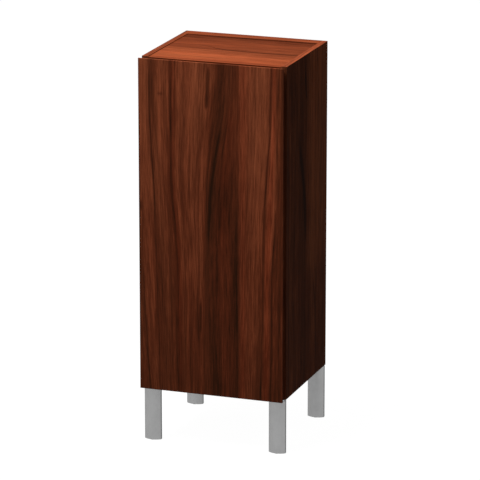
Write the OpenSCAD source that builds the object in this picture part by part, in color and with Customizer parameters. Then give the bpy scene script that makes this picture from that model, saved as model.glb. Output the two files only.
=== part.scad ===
// Tall bathroom cabinet: veneered carcass, one beveled door without a handle, four bowed metal legs.
// Millimetres. +Z is up, X runs left to right, and the door faces -Y.
// The origin is on the floor, at the middle of the footprint.

/* [Cabinet] */
// Width of the cabinet and of its door
cabinet_w = 400; // [330:1:600]
// Depth of the carcass behind the door gap
carcass_d = 335; // [300:1:450]
// Height of the carcass and of the door
carcass_h = 900; // [860:1:1200]
// Height of the carcass underside above the floor
leg_h = 150; // [110:1:220]
// Thickness of the side, top and bottom boards and of the two rails behind the back panel
board_t = 16; // [15.5:0.5:20]
// How far the top panel lies below the upper edges of the side panels
top_drop = 2; // [2:0.5:5]
// Depth of the strip along the rear edge of the top
rear_strip_d = 38; // [36:1:60]
// Thickness of the back panel
back_t = 6; // [4:0.5:7]
// Depth of the grooves that hold the back panel
groove_deep = 5; // [3:0.5:6]
// Height of the two rails behind the back panel
rail_h = 80; // [60:1:140]

/* [Door] */
// Thickness of the door
door_t = 26; // [20:0.5:30]
// Gap between the back of the door and the carcass, filled by the hinge leaves
door_gap = 3; // [2.9:0.1:4]
// Thickness of the square lip in front of the beveled finger grip
lip_t = 5; // [3:0.5:7]
// How far the bevel narrows the door on every side
bevel_in = 10; // [8:0.5:10.5]

/* [Shelves] */
// Thickness of the two glass shelves
glass_t = 6; // [4:0.5:8]
// Height of the lower shelf's pins above the bottom panel
lower_shelf_rise = 286; // [200:1:330]
// Height of the upper shelf's pins above the bottom panel
upper_shelf_rise = 574; // [500:1:600]
// Distance from the carcass front to the front edge of a shelf
shelf_setback = 20; // [12:1:35]
// Distance from the rear edge of a shelf to the back panel
shelf_back_gap = 8; // [2:1:20]
// Gap between a shelf's end and the side panel
shelf_side_gap = 1; // [0.5:0.5:3]
// Spacing of the shelf pin holes in a row
hole_pitch = 32; // [25:1:40]
// Radius of a shelf pin
shelf_pin_r = 2.5; // [2:0.1:3]
// Distance from the carcass front to the front row of pin holes
front_row = 37; // [30:1:60]
// Distance from the back panel to the rear row of pin holes
rear_row = 45; // [30:1:60]

/* [Legs] */
// Width of a leg profile
leg_w = 46.5; // [40:0.5:50]
// Depth of the flat sides of a leg profile
leg_side = 8; // [7:0.5:10]
// Height of the bowed front of a leg profile
leg_bow = 9; // [7:0.5:10]
// Wall of the hollow leg profile
leg_wall = 2; // [1.5:0.1:2.2]
// Distance from the cabinet's side to the leg
leg_inset = 1; // [0:0.5:3]
// Distance from the carcass back to the rear legs
leg_back_inset = 1.6; // [0:0.1:8]
// Thickness of the steel plate over each leg
plate_t = 3; // [2.5:0.5:4]
// Length of the plate that reaches under the carcass, measured from the leg's flat
plate_reach = 60; // [45:1:64]
// Distance from the cabinet's side to the plate
plate_inset = 4; // [3:0.5:6]
// Height of the plastic plug in the foot of a leg
plug_h = 14; // [10:1:24]
// Radius of the threaded stud of a foot
stud_r = 3; // [2:0.25:3.5]
// Length of that stud
stud_l = 32; // [26:1:50]
// Radius of the round foot pad
foot_r = 6; // [5.5:0.5:8]
// Thickness of the round foot pad
foot_t = 1.2; // [1:0.1:3]

/* [Hinges] */
// Height of a hinge
hinge_h = 60; // [50:1:80]
// Radius of a hinge barrel
barrel_r = 3.1; // [2.8:0.1:3.2]
// Radius of a hinge pin
hinge_pin_r = 1.5; // [1.2:0.1:1.7]
// Thickness of a hinge leaf
leaf_t = 1.2; // [1:0.1:1.2]
// Width of the leaf on the carcass, from the pin's axis
frame_leaf_w = 11.5; // [10.5:0.5:12]
// Width of the leaf on the door, from the pin's axis
door_leaf_w = 25.5; // [22:0.5:32]
// Distance from the cabinet's side to the pin's axis
pin_inset = 3.5; // [3.3:0.1:4]
// Distance from the door's ends to the middle of the outer hinges
hinge_end = 100; // [60:1:160]

/* [Catches] */
// Height of a magnetic catch housing between its ears
catch_h = 40; // [36:1:50]
// Width of the housing, away from the side panel
catch_w = 14; // [12:0.5:18]
// Depth of the housing
catch_d = 20; // [16:1:26]
// Length of each screwed ear
ear_l = 12; // [10:1:16]
// Thickness of a strike plate on the door
strike_t = 2; // [1.5:0.1:2.2]
// Distance from the ends of the door to the middle of each catch
catch_end = 150; // [120:1:190]

/* [Joinery] */
// Radius of a wooden dowel
dowel_r = 4; // [3:0.25:4.5]
// Length of a dowel
dowel_l = 30; // [24:1:36]
// Depth of a dowel's hole in a side panel
dowel_side = 10; // [8:0.5:12]
// Radius of a cam lock
cam_r = 7.5; // [6.5:0.5:8]
// Height of a cam lock
cam_h = 12; // [10:0.5:12.5]
// Distance from the end of a panel to the middle of its cam locks
cam_reach = 24; // [20:1:30]
// Radius of the steel bolt that a cam lock draws in
cam_bolt_r = 2.5; // [2:0.25:3]
// Radius of the wall fixing holes in the upper rail
wall_hole_r = 3; // [2.5:0.25:5]
// Distance between the wall fixing holes
wall_hole_span = 240; // [160:1:260]

/* [Fits] */
// Radial clearance of dowels, cams, pins and screws in their holes
hole_fit = 0.05; // [0.02:0.01:0.1]
// Radial clearance between a hinge pin and its barrel
pin_fit = 0.05; // [0.02:0.01:0.1]
// Clearance on each side of the back panel in its grooves
panel_fit = 0.1; // [0.05:0.05:0.3]
// Small gap between parts that move past each other or only just touch
touch_gap = 0.2; // [0.1:0.05:0.3]

/* [Hidden] */
$fn = 48;
eps = 0.01;

// Main planes
total_d = carcass_d + door_gap + door_t;
side_x = cabinet_w / 2;
inner_x = side_x - board_t;
back_y = total_d / 2;
front_y = -back_y;
carcass_y = front_y + door_t + door_gap;
door_back_y = front_y + door_t;
base_z = leg_h;
top_z = base_z + carcass_h;
floor_z = base_z + board_t;
ceiling_z = top_z - top_drop - board_t;
rail_y = back_y - board_t;
back_panel_y = rail_y - touch_gap - back_t;

// Dowels and cams, as [y, z] on the side panels
panel_mid_z = [ceiling_z + board_t / 2, base_z + board_t / 2];
cam_front = 85;
cam_back = 95;
dowel_front = 115;
dowel_back = 125;
rail_dowel_span = 48;
strip_dowel_span = 20;
strip_mid_z = (ceiling_z + top_z) / 2;
strip_mid_y = back_y - rear_strip_d / 2;
rail_mid_y = rail_y + board_t / 2;
upper_rail_z = ceiling_z - rail_h / 2;
lower_rail_z = floor_z + rail_h / 2;
cam_points = [for (z = panel_mid_z, y = [carcass_y + cam_front, back_y - cam_back]) [y, z]];
panel_dowel_points = [for (z = panel_mid_z, y = [carcass_y + dowel_front, back_y - dowel_back]) [y, z]];
strip_dowel_points = [for (s = [-1, 1]) [strip_mid_y + s * strip_dowel_span / 2, strip_mid_z]];
upper_rail_points = [for (s = [-1, 1]) [rail_mid_y, upper_rail_z + s * rail_dowel_span / 2]];
lower_rail_points = [for (s = [-1, 1]) [rail_mid_y, lower_rail_z + s * rail_dowel_span / 2]];
dowel_points = concat(panel_dowel_points, strip_dowel_points, upper_rail_points, lower_rail_points);
dowel_end_gap = 0.3;
cam_bolt_side = 10;
cam_head_r = 3.4;
cam_head_l = 3;
cam_bore_r = cam_r + hole_fit;
cam_slot_w = 1.2;
cam_slot_deep = 2;

// Shelves
shelf_rise = [lower_shelf_rise, upper_shelf_rise];
holes_each_way = 2;
pin_hole_deep = 9;
pin_deep = 8;
spoon_l = 10;
spoon_r = 4.5;
spoon_t = 3;
collar_t = 1.5;
pad_r = 3.2;
pad_t = 0.8;
row_y = [carcass_y + front_row, back_panel_y - rear_row];
function pin_z(i) = floor_z + shelf_rise[i];
function shelf_z(i) = pin_z(i) + spoon_t / 2 + pad_t;

// Legs: [side, y of the profile's flat front, direction of the plate along Y]
leg_top_z = base_z - plate_t;
leg_bottom_z = foot_t + touch_gap;
leg_mid_x = side_x - leg_inset - leg_w / 2;
bow_r = (pow(leg_w / 2, 2) + pow(leg_bow, 2)) / (2 * leg_bow);
front_leg_y = carcass_y;
rear_leg_y = back_y - leg_back_inset - leg_side;
boss_x = 13;
boss_r = 3.4;
boss_y = leg_side - leg_wall - boss_r + 0.2;
leg_bolt_r = 2;
leg_bolt_head_r = 3.8;
leg_bolt_l = 20;
plate_front = 2;
plate_w = 48;
plate_screw_l = 14;
plate_screw_end = 8;
plate_screw_mid = 30;
plate_screw_x = 11;
plate_screw_shift = 9;
stud_y = -0.5;

// Wood screws with countersunk heads
screw_r = 1.5;
screw_head_r = 2.9;
screw_l = 14;

// Hinges: the axis is vertical, in the groove beside the carcass
axis_x = -side_x + pin_inset;
barrel_back_gap = touch_gap;
axis_y = carcass_y - barrel_back_gap - barrel_r;
leaf_plane = carcass_y - axis_y;
door_plane = door_back_y - axis_y;
knuckles = 5;
knuckle_h = hinge_h / knuckles;
knuckle_gap = 0.15;
leaf_start = barrel_r + 0.4;
pin_head_r = 2.2;
pin_head_t = 1;
frame_screw_x = leaf_start + screw_head_r + 0.6;
door_screw_x = door_leaf_w - screw_head_r - 4.5;
hinge_screw_z = [-20, 0, 20];
hinge_z = [base_z + hinge_end, base_z + carcass_h / 2, top_z - hinge_end];

// Catches: the steel poles stand just off the strike plate on the closed door
catch_z = [base_z + catch_end, top_z - catch_end];
ear_t = 3;
pole_t = 1.6;
pole_z = 9;
pole_width = 11;
catch_front_y = carcass_y + 1;
pole_front_y = door_back_y + strike_t + touch_gap;
magnet_h = 2 * pole_z - pole_t;
magnet_d = 9;
strike_h = 38;
strike_w = 12;
strike_x = inner_x - catch_w / 2;
bumper_r = 2.6;
bumper_t = door_gap - touch_gap;
bumper_x = inner_x - 12;
bumper_z = [(base_z + bevel_in + floor_z) / 2, ceiling_z + bumper_r + 1.4];

// A box between two corners
module box(lo, hi) {
    translate(lo) cube(hi - lo);
}

// A round hole or rod along X, starting at a point and running towards +X or -X
module rod_x(start, r, length, side) {
    translate(start) rotate([0, side * 90, 0]) cylinder(r = r, h = length);
}

// A round hole or rod along Y, starting at a point and running towards +Y or -Y
module rod_y(start, r, length, dir) {
    translate(start) rotate([-dir * 90, 0, 0]) cylinder(r = r, h = length);
}

// A countersunk screw pointing down -Z, with the flat of its head at z = 0
module flat_screw(shank_r, head_r, length) {
    head_h = head_r - shank_r;
    translate([0, 0, -head_h]) cylinder(r1 = shank_r, r2 = head_r, h = head_h);
    translate([0, 0, -length]) cylinder(r = shank_r, h = length - head_h + eps);
}

// The hole that such a screw needs, a little wider all round
module flat_screw_hole(shank_r, head_r, length) {
    flat_screw(shank_r + hole_fit, head_r + hole_fit, length + touch_gap);
    cylinder(r = head_r + hole_fit, h = 1);
}

// One side panel. side is -1 for the left and 1 for the right
module side_panel(side) {
    color("#4a2414") difference() {
        box([min(side * inner_x, side * side_x), carcass_y, base_z],
            [max(side * inner_x, side * side_x), back_y, top_z]);
        back_groove_side(side);
        for (p = dowel_points)
            rod_x([side * (inner_x - eps), p[0], p[1]], dowel_r + hole_fit, dowel_side + eps, side);
        for (p = cam_points)
            rod_x([side * (inner_x - eps), p[0], p[1]], cam_bolt_r + hole_fit, cam_bolt_side + eps, side);
        for (i = [0, 1], k = [-holes_each_way : holes_each_way], y = row_y)
            rod_x([side * (inner_x - eps), y, pin_z(i) + k * hole_pitch],
                shelf_pin_r + hole_fit, pin_hole_deep + eps, side);
        if (side < 0) each_frame_screw() flat_screw_hole(screw_r, screw_head_r, screw_l);
        if (side > 0) each_catch_screw() flat_screw_hole(screw_r, screw_head_r, screw_l);
    }
}

// The stopped groove for the back panel in one side panel
module back_groove_side(side) {
    box([min(side * (inner_x - eps), side * (inner_x + groove_deep)),
            back_panel_y - panel_fit, floor_z - groove_deep],
        [max(side * (inner_x - eps), side * (inner_x + groove_deep)),
            back_panel_y + back_t + panel_fit, ceiling_z + groove_deep]);
}

// Cam bores and bolt and dowel holes at both ends of the top or bottom panel
module panel_joinery(z) {
    for (side = [-1, 1]) {
        for (p = cam_points) if (p[1] == z) {
            translate([side * (inner_x - cam_reach), p[0], z - board_t / 2 - eps])
                cylinder(r = cam_bore_r, h = cam_h + touch_gap + eps);
            rod_x([side * (inner_x + eps), p[0], z], cam_head_r + hole_fit, cam_reach, -side);
        }
        for (p = dowel_points) if (p[1] == z) end_dowel_hole(side, p);
    }
}

// A dowel hole in the end of a board between the side panels
module end_dowel_hole(side, p) {
    rod_x([side * (inner_x + eps), p[0], p[1]], dowel_r + hole_fit,
        dowel_l - dowel_side + dowel_end_gap + eps, -side);
}

module top_panel() {
    color("#7a4226") difference() {
        box([-inner_x, carcass_y, ceiling_z], [inner_x, back_y - rear_strip_d, top_z - top_drop]);
        panel_joinery(panel_mid_z[0]);
    }
}

module bottom_panel() {
    color("#4a2414") difference() {
        box([-inner_x, carcass_y, base_z], [inner_x, back_y, floor_z]);
        panel_joinery(panel_mid_z[1]);
        box([-inner_x - eps, back_panel_y - panel_fit, floor_z - groove_deep],
            [inner_x + eps, back_panel_y + back_t + panel_fit, floor_z + eps]);
        each_plate_screw() flat_screw_hole(screw_r, screw_head_r, plate_screw_l);
    }
}

// The strip along the rear edge of the top, level with the side panels
module rear_top_strip() {
    color("#7a4226") difference() {
        box([-inner_x, back_y - rear_strip_d, ceiling_z], [inner_x, back_y, top_z]);
        box([-inner_x - eps, back_panel_y - panel_fit, ceiling_z - eps],
            [inner_x + eps, back_panel_y + back_t + panel_fit, ceiling_z + groove_deep]);
        for (side = [-1, 1], p = strip_dowel_points) end_dowel_hole(side, p);
    }
}

// The upper rail behind the back panel, screwed to the wall
module wall_rail() {
    color("#4a2414") difference() {
        box([-inner_x, rail_y, ceiling_z - rail_h], [inner_x, back_y, ceiling_z]);
        for (side = [-1, 1], p = upper_rail_points) end_dowel_hole(side, p);
        each_wall_hole() cylinder(r = wall_hole_r, h = board_t + 2 * eps);
    }
}

module lower_rear_rail() {
    color("#4a2414") difference() {
        box([-inner_x, rail_y, floor_z], [inner_x, back_y, floor_z + rail_h]);
        for (side = [-1, 1], p = lower_rail_points) end_dowel_hole(side, p);
    }
}

// Places its child at each wall fixing hole, pointing forward from the back of the rail
module each_wall_hole() {
    for (side = [-1, 1])
        translate([side * wall_hole_span / 2, back_y + eps, upper_rail_z]) rotate([90, 0, 0]) children();
}

// The thin back panel, with clearance holes in line with the wall fixing holes
module back_panel() {
    reach = groove_deep - touch_gap;
    color("#4a2414") difference() {
        box([-inner_x - reach, back_panel_y, floor_z - reach],
            [inner_x + reach, back_panel_y + back_t, ceiling_z + reach]);
        each_wall_hole() cylinder(r = wall_hole_r + 2, h = rear_strip_d);
    }
}

// One glass shelf, resting on four pads
module shelf(i) {
    color("#cfe6e2", 0.6) box(
        [-inner_x + shelf_side_gap, carcass_y + shelf_setback, shelf_z(i)],
        [inner_x - shelf_side_gap, back_panel_y - shelf_back_gap, shelf_z(i) + glass_t]);
}

// Places its child at the four pin holes that carry shelf i, with +Z turned towards the side panel
module each_support(i) {
    for (side = [-1, 1], y = row_y)
        translate([side * inner_x, y, pin_z(i)]) rotate([0, side * 90, 0]) children();
}

// Four spoon-shaped pins: a round pin, a collar and a flat spoon under the glass
module shelf_supports(i) {
    color("silver") each_support(i) {
        cylinder(r = shelf_pin_r, h = pin_deep);
        translate([0, 0, -collar_t]) cylinder(r = spoon_t / 2 + 0.8, h = collar_t);
    }
    color("silver") for (side = [-1, 1], y = row_y) {
        translate([side * (inner_x - spoon_l), y, pin_z(i) - spoon_t / 2])
            cylinder(r = spoon_r, h = spoon_t);
        box([min(side * (inner_x - spoon_l), side * (inner_x - collar_t / 2)),
                y - spoon_r, pin_z(i) - spoon_t / 2],
            [max(side * (inner_x - spoon_l), side * (inner_x - collar_t / 2)),
                y + spoon_r, pin_z(i) + spoon_t / 2]);
    }
}

// The clear pads between the spoons and the glass
module shelf_pads() {
    color("#e8e8e4") for (i = [0, 1], side = [-1, 1], y = row_y)
        translate([side * (inner_x - spoon_l), y, pin_z(i) + spoon_t / 2]) cylinder(r = pad_r, h = pad_t);
}

// Wooden dowels from the side panels into every board between them
module panel_dowels() {
    color("#c9a36b") for (side = [-1, 1], p = dowel_points)
        rod_x([side * (inner_x + dowel_side - dowel_end_gap), p[0], p[1]], dowel_r, dowel_l, -side);
}

// Steel bolts from the side panels into the cam locks
module cam_bolts() {
    shaft = cam_reach - cam_r / 2;
    color("silver") for (side = [-1, 1], p = cam_points) {
        rod_x([side * (inner_x + cam_bolt_side - touch_gap), p[0], p[1]], cam_bolt_r,
            cam_bolt_side - touch_gap + shaft, -side);
        rod_x([side * (inner_x - shaft + cam_head_l), p[0], p[1]], cam_head_r, cam_head_l, -side);
    }
}

// Round cam locks in the undersides of the top and bottom panels
module cam_locks() {
    hollow = cam_reach - cam_r / 2 + cam_head_l;
    color("#9a9a9a") for (side = [-1, 1], p = cam_points)
        translate([side * (inner_x - cam_reach), p[0], p[1] - board_t / 2]) difference() {
            cylinder(r = cam_r, h = cam_h);
            rod_x([side * cam_reach, 0, board_t / 2], cam_head_r + hole_fit, hollow, -side);
            box([-cam_slot_w / 2, -cam_r / 2, -eps], [cam_slot_w / 2, cam_r / 2, cam_slot_deep]);
            box([-cam_r / 2, -cam_slot_w / 2, -eps], [cam_r / 2, cam_slot_w / 2, cam_slot_deep]);
        }
}

// The outline of the leg profile, bowed towards -Y, moved in or out by grow
module leg_outline(grow) {
    intersection() {
        translate([0, bow_r - leg_bow]) circle(r = bow_r + grow, $fn = 160);
        translate([-leg_w / 2 - grow, -leg_bow - grow])
            square([leg_w + 2 * grow, leg_bow + leg_side + 2 * grow]);
    }
}

// Places its child at the two screw bosses inside the profile
module each_boss() {
    for (s = [-1, 1]) translate([s * boss_x, boss_y]) children();
}

// Moves its child to one leg: side is -1 or 1, and flat_y is the front of the profile's flat sides
module at_leg(side, flat_y) {
    translate([side * leg_mid_x, flat_y, 0]) children();
}

// One hollow metal leg with its two screw bosses
module leg(side, flat_y) {
    color("#9d9d9d") at_leg(side, flat_y) translate([0, 0, leg_bottom_z])
        linear_extrude(leg_top_z - leg_bottom_z) difference() {
            leg_outline(0);
            difference() {
                leg_outline(-leg_wall);
                each_boss() circle(r = boss_r);
            }
            each_boss() circle(r = leg_bolt_r + hole_fit);
        }
}

// The steel plate over a leg. inward is 1 for the front legs and -1 for the rear ones
module leg_plate(side, flat_y, inward) {
    near = inward > 0 ? -plate_front : leg_side;
    color("#b9b9b9") difference() {
        box([min(side * (side_x - plate_inset - plate_w), side * (side_x - plate_inset)),
                min(flat_y + near, flat_y + inward * plate_reach), leg_top_z],
            [max(side * (side_x - plate_inset - plate_w), side * (side_x - plate_inset)),
                max(flat_y + near, flat_y + inward * plate_reach), base_z]);
        each_leg_bolt() flat_screw_hole(leg_bolt_r, leg_bolt_head_r, leg_bolt_l);
        each_plate_screw() flat_screw_hole(screw_r, screw_head_r, plate_screw_l);
    }
}

// Places its child at each bolt from a plate down into a leg's bosses
module each_leg_bolt() {
    for (side = [-1, 1], y = [front_leg_y, rear_leg_y])
        at_leg(side, y) each_boss() translate([0, 0, base_z]) children();
}

// Places its child, turned upside down, at each screw from a plate up into the bottom panel
module each_plate_screw() {
    for (side = [-1, 1], leg = [[front_leg_y, 1], [rear_leg_y, -1]]) {
        end_y = leg[0] + leg[1] * plate_reach;
        mid_x = side * (inner_x - plate_screw_x - plate_screw_shift);
        for (p = [[-plate_screw_x, plate_screw_end], [plate_screw_x, plate_screw_end], [0, plate_screw_mid]])
            translate([mid_x + p[0], end_y - leg[1] * p[1], leg_top_z]) rotate([180, 0, 0]) children();
    }
}

module leg_plate_screws() {
    color("#b0b0a8") each_plate_screw() flat_screw(screw_r, screw_head_r, plate_screw_l);
}

module leg_bolts() {
    color("#b0b0a8") each_leg_bolt() flat_screw(leg_bolt_r, leg_bolt_head_r, leg_bolt_l);
}

// The plastic plug in the bottom of a leg, bored for the threaded foot
module leg_plug(side, flat_y) {
    color("#3a3a3a") at_leg(side, flat_y) translate([0, 0, leg_bottom_z])
        linear_extrude(plug_h) difference() {
            leg_outline(-leg_wall - panel_fit);
            each_boss() circle(r = boss_r + panel_fit);
            translate([-boss_x - boss_r - leg_wall, boss_y])
                square([boss_r + leg_wall + boss_r + panel_fit, leg_side]);
            translate([boss_x - boss_r - panel_fit, boss_y])
                square([boss_r + leg_wall + boss_r + panel_fit, leg_side]);
            translate([0, stud_y]) circle(r = stud_r + pin_fit);
        }
}

// One screw-in foot: a round pad with a threaded stud
module foot(side, flat_y) {
    color("#2e2e2e") at_leg(side, flat_y) translate([0, stud_y, 0]) {
        cylinder(r = foot_r, h = foot_t);
        translate([0, 0, foot_t - eps]) cylinder(r = stud_r, h = stud_l + eps);
    }
}

// The door: a square lip in front, then a bevel all round towards a smaller back face
module door_panel() {
    lip_y = front_y + lip_t;
    in_x = side_x - bevel_in;
    points = [
        for (r = [[front_y, side_x, base_z, top_z], [lip_y, side_x, base_z, top_z],
                [door_back_y, in_x, base_z + bevel_in, top_z - bevel_in]])
            each [[-r[1], r[0], r[2]], [r[1], r[0], r[2]], [r[1], r[0], r[3]], [-r[1], r[0], r[3]]]
    ];
    ring_faces = [for (k = [0, 1], i = [0 : 3])
        [4 * k + i, 4 * k + 4 + i, 4 * k + 4 + (i + 1) % 4, 4 * k + (i + 1) % 4]];
    color("#5b2a17") difference() {
        polyhedron(points, concat([[0, 1, 2, 3]], ring_faces, [[11, 10, 9, 8]]));
        each_door_screw() flat_screw_hole(screw_r, screw_head_r, screw_l);
        each_strike_screw() flat_screw_hole(screw_r, screw_head_r, screw_l);
    }
}

// Moves its child to the axis of hinge i, at the middle of its height
module at_hinge(i) {
    translate([axis_x, axis_y, hinge_z[i]]) children();
}

// The barrel pieces of one leaf: first is 0 for the carcass leaf and 1 for the door leaf
module barrel(first) {
    for (k = [first : 2 : knuckles - 1])
        translate([0, 0, -hinge_h / 2 + k * knuckle_h + knuckle_gap])
            cylinder(r = barrel_r, h = knuckle_h - 2 * knuckle_gap);
}

// The webs that join those barrel pieces to the leaf, between two planes along Y
module barrel_webs(first, from_x, lo_y, hi_y) {
    for (k = [first : 2 : knuckles - 1])
        box([from_x, lo_y, -hinge_h / 2 + k * knuckle_h + knuckle_gap],
            [leaf_start + eps, hi_y, -hinge_h / 2 + (k + 1) * knuckle_h - knuckle_gap]);
}

// The leaf on the front edge of the left side panel
module hinge_frame_leaf(i) {
    color("#c4c4c4") difference() {
        at_hinge(i) {
            barrel(0);
            barrel_webs(0, 0, leaf_plane - leaf_t, leaf_plane);
            box([leaf_start, leaf_plane - leaf_t, -hinge_h / 2], [frame_leaf_w, leaf_plane, hinge_h / 2]);
        }
        at_hinge(i) cylinder(r = hinge_pin_r + pin_fit, h = hinge_h + 2, center = true);
        each_frame_screw() flat_screw_hole(screw_r, screw_head_r, screw_l);
    }
}

// The leaf on the back of the door
module hinge_door_leaf(i) {
    color("#c4c4c4") difference() {
        at_hinge(i) {
            barrel(1);
            barrel_webs(1, hinge_pin_r, door_plane, door_plane + leaf_t);
            box([leaf_start, door_plane, -hinge_h / 2], [door_leaf_w, door_plane + leaf_t, hinge_h / 2]);
        }
        at_hinge(i) cylinder(r = hinge_pin_r + pin_fit, h = hinge_h + 2, center = true);
        each_door_screw() flat_screw_hole(screw_r, screw_head_r, screw_l);
    }
}

module hinge_pin(i) {
    color("#8f8f8f") at_hinge(i) {
        cylinder(r = hinge_pin_r, h = hinge_h, center = true);
        for (s = [-1, 1])
            translate([0, 0, s * (hinge_h + pin_head_t) / 2])
                cylinder(r = pin_head_r, h = pin_head_t, center = true);
    }
}

// Places its child, pointing back, at each screw of the carcass leaves
module each_frame_screw() {
    for (i = [0 : 2], z = hinge_screw_z)
        at_hinge(i) translate([frame_screw_x, leaf_plane - leaf_t, z]) rotate([90, 0, 0]) children();
}

// Places its child, pointing forward, at each screw of the door leaves
module each_door_screw() {
    for (i = [0 : 2], z = hinge_screw_z)
        at_hinge(i) translate([door_screw_x, door_plane + leaf_t, z]) rotate([-90, 0, 0]) children();
}

module hinge_frame_screws() {
    color("#b0b0a8") each_frame_screw() flat_screw(screw_r, screw_head_r, screw_l);
}

module hinge_door_screws() {
    color("#b0b0a8") each_door_screw() flat_screw(screw_r, screw_head_r, screw_l);
}

// One magnetic catch housing on the right side panel, with a screwed ear above and below
module catch_housing(i) {
    color("#e9e6df") difference() {
        union() {
            box([inner_x - catch_w, catch_front_y, catch_z[i] - catch_h / 2],
                [inner_x, catch_front_y + catch_d, catch_z[i] + catch_h / 2]);
            box([inner_x - ear_t, catch_front_y, catch_z[i] - catch_h / 2 - ear_l],
                [inner_x, catch_front_y + catch_d, catch_z[i] + catch_h / 2 + ear_l]);
        }
        catch_core(i, panel_fit);
        each_catch_screw() flat_screw_hole(screw_r, screw_head_r, screw_l);
    }
}

// The room for the magnet and its two poles in the front of a housing
module catch_core(i, gap) {
    half_w = pole_width / 2 + gap;
    half_h = pole_z + pole_t / 2 + gap;
    box([strike_x - half_w, catch_front_y - eps, catch_z[i] - half_h],
        [strike_x + half_w, catch_front_y + magnet_d + gap, catch_z[i] + half_h]);
}

module catch_magnets() {
    color("#4f4f52") for (z = catch_z)
        box([strike_x - pole_width / 2, catch_front_y, z - magnet_h / 2],
            [strike_x + pole_width / 2, catch_front_y + magnet_d, z + magnet_h / 2]);
}

// Two steel poles a catch, standing out of the housing towards the strike plate
module catch_poles() {
    color("#c4c4c4") for (z = catch_z, s = [-1, 1])
        box([strike_x - pole_width / 2, pole_front_y, z + s * pole_z - pole_t / 2],
            [strike_x + pole_width / 2, catch_front_y + magnet_d, z + s * pole_z + pole_t / 2]);
}

// Places its child, pointing right, at each catch screw
module each_catch_screw() {
    for (z = catch_z, s = [-1, 1])
        translate([inner_x - ear_t, catch_front_y + catch_d / 2, z + s * (catch_h + ear_l) / 2])
            rotate([0, -90, 0]) children();
}

module catch_screws() {
    color("#b0b0a8") each_catch_screw() flat_screw(screw_r, screw_head_r, screw_l);
}

// The steel plates on the door that the catches hold
module strike_plates() {
    color("#c4c4c4") difference() {
        for (z = catch_z)
            box([strike_x - strike_w / 2, door_back_y, z - strike_h / 2],
                [strike_x + strike_w / 2, door_back_y + strike_t, z + strike_h / 2]);
        each_strike_screw() flat_screw_hole(screw_r, screw_head_r, screw_l);
    }
}

// Places its child, pointing forward, at the screw in the middle of each strike plate
module each_strike_screw() {
    for (z = catch_z)
        translate([strike_x, door_back_y + strike_t, z]) rotate([-90, 0, 0]) children();
}

module strike_screws() {
    color("#b0b0a8") each_strike_screw() flat_screw(screw_r, screw_head_r, screw_l);
}

// Clear buffers on the back of the door, in front of the top and bottom panels
module door_bumpers() {
    color("#e8e8e4") for (z = bumper_z)
        rod_y([bumper_x, door_back_y, z], bumper_r, bumper_t, 1);
}

side_panel(-1);  // side_panel_left
side_panel(1);  // side_panel_right
top_panel();
bottom_panel();
rear_top_strip();
wall_rail();
lower_rear_rail();
back_panel();
shelf(0);  // shelf_lower
shelf(1);  // shelf_upper
shelf_supports(0);  // shelf_supports_lower
shelf_supports(1);  // shelf_supports_upper
shelf_pads();
panel_dowels();
cam_bolts();
cam_locks();
leg(-1, front_leg_y);  // leg_front_left
leg(1, front_leg_y);  // leg_front_right
leg(-1, rear_leg_y);  // leg_rear_left
leg(1, rear_leg_y);  // leg_rear_right
leg_plate(-1, front_leg_y, 1);  // leg_plate_front_left
leg_plate(1, front_leg_y, 1);  // leg_plate_front_right
leg_plate(-1, rear_leg_y, -1);  // leg_plate_rear_left
leg_plate(1, rear_leg_y, -1);  // leg_plate_rear_right
leg_plate_screws();
leg_bolts();
leg_plug(-1, front_leg_y);  // leg_plug_front_left
leg_plug(1, front_leg_y);  // leg_plug_front_right
leg_plug(-1, rear_leg_y);  // leg_plug_rear_left
leg_plug(1, rear_leg_y);  // leg_plug_rear_right
foot(-1, front_leg_y);  // foot_front_left
foot(1, front_leg_y);  // foot_front_right
foot(-1, rear_leg_y);  // foot_rear_left
foot(1, rear_leg_y);  // foot_rear_right
door_panel();
hinge_frame_leaf(0);  // hinge_frame_leaf_lower
hinge_frame_leaf(1);  // hinge_frame_leaf_middle
hinge_frame_leaf(2);  // hinge_frame_leaf_upper
hinge_door_leaf(0);  // hinge_door_leaf_lower
hinge_door_leaf(1);  // hinge_door_leaf_middle
hinge_door_leaf(2);  // hinge_door_leaf_upper
hinge_pin(0);  // hinge_pin_lower
hinge_pin(1);  // hinge_pin_middle
hinge_pin(2);  // hinge_pin_upper
hinge_frame_screws();
hinge_door_screws();
catch_housing(0);  // catch_housing_lower
catch_housing(1);  // catch_housing_upper
catch_magnets();
catch_poles();
catch_screws();
strike_plates();
strike_screws();
door_bumpers();
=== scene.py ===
import math

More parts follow.
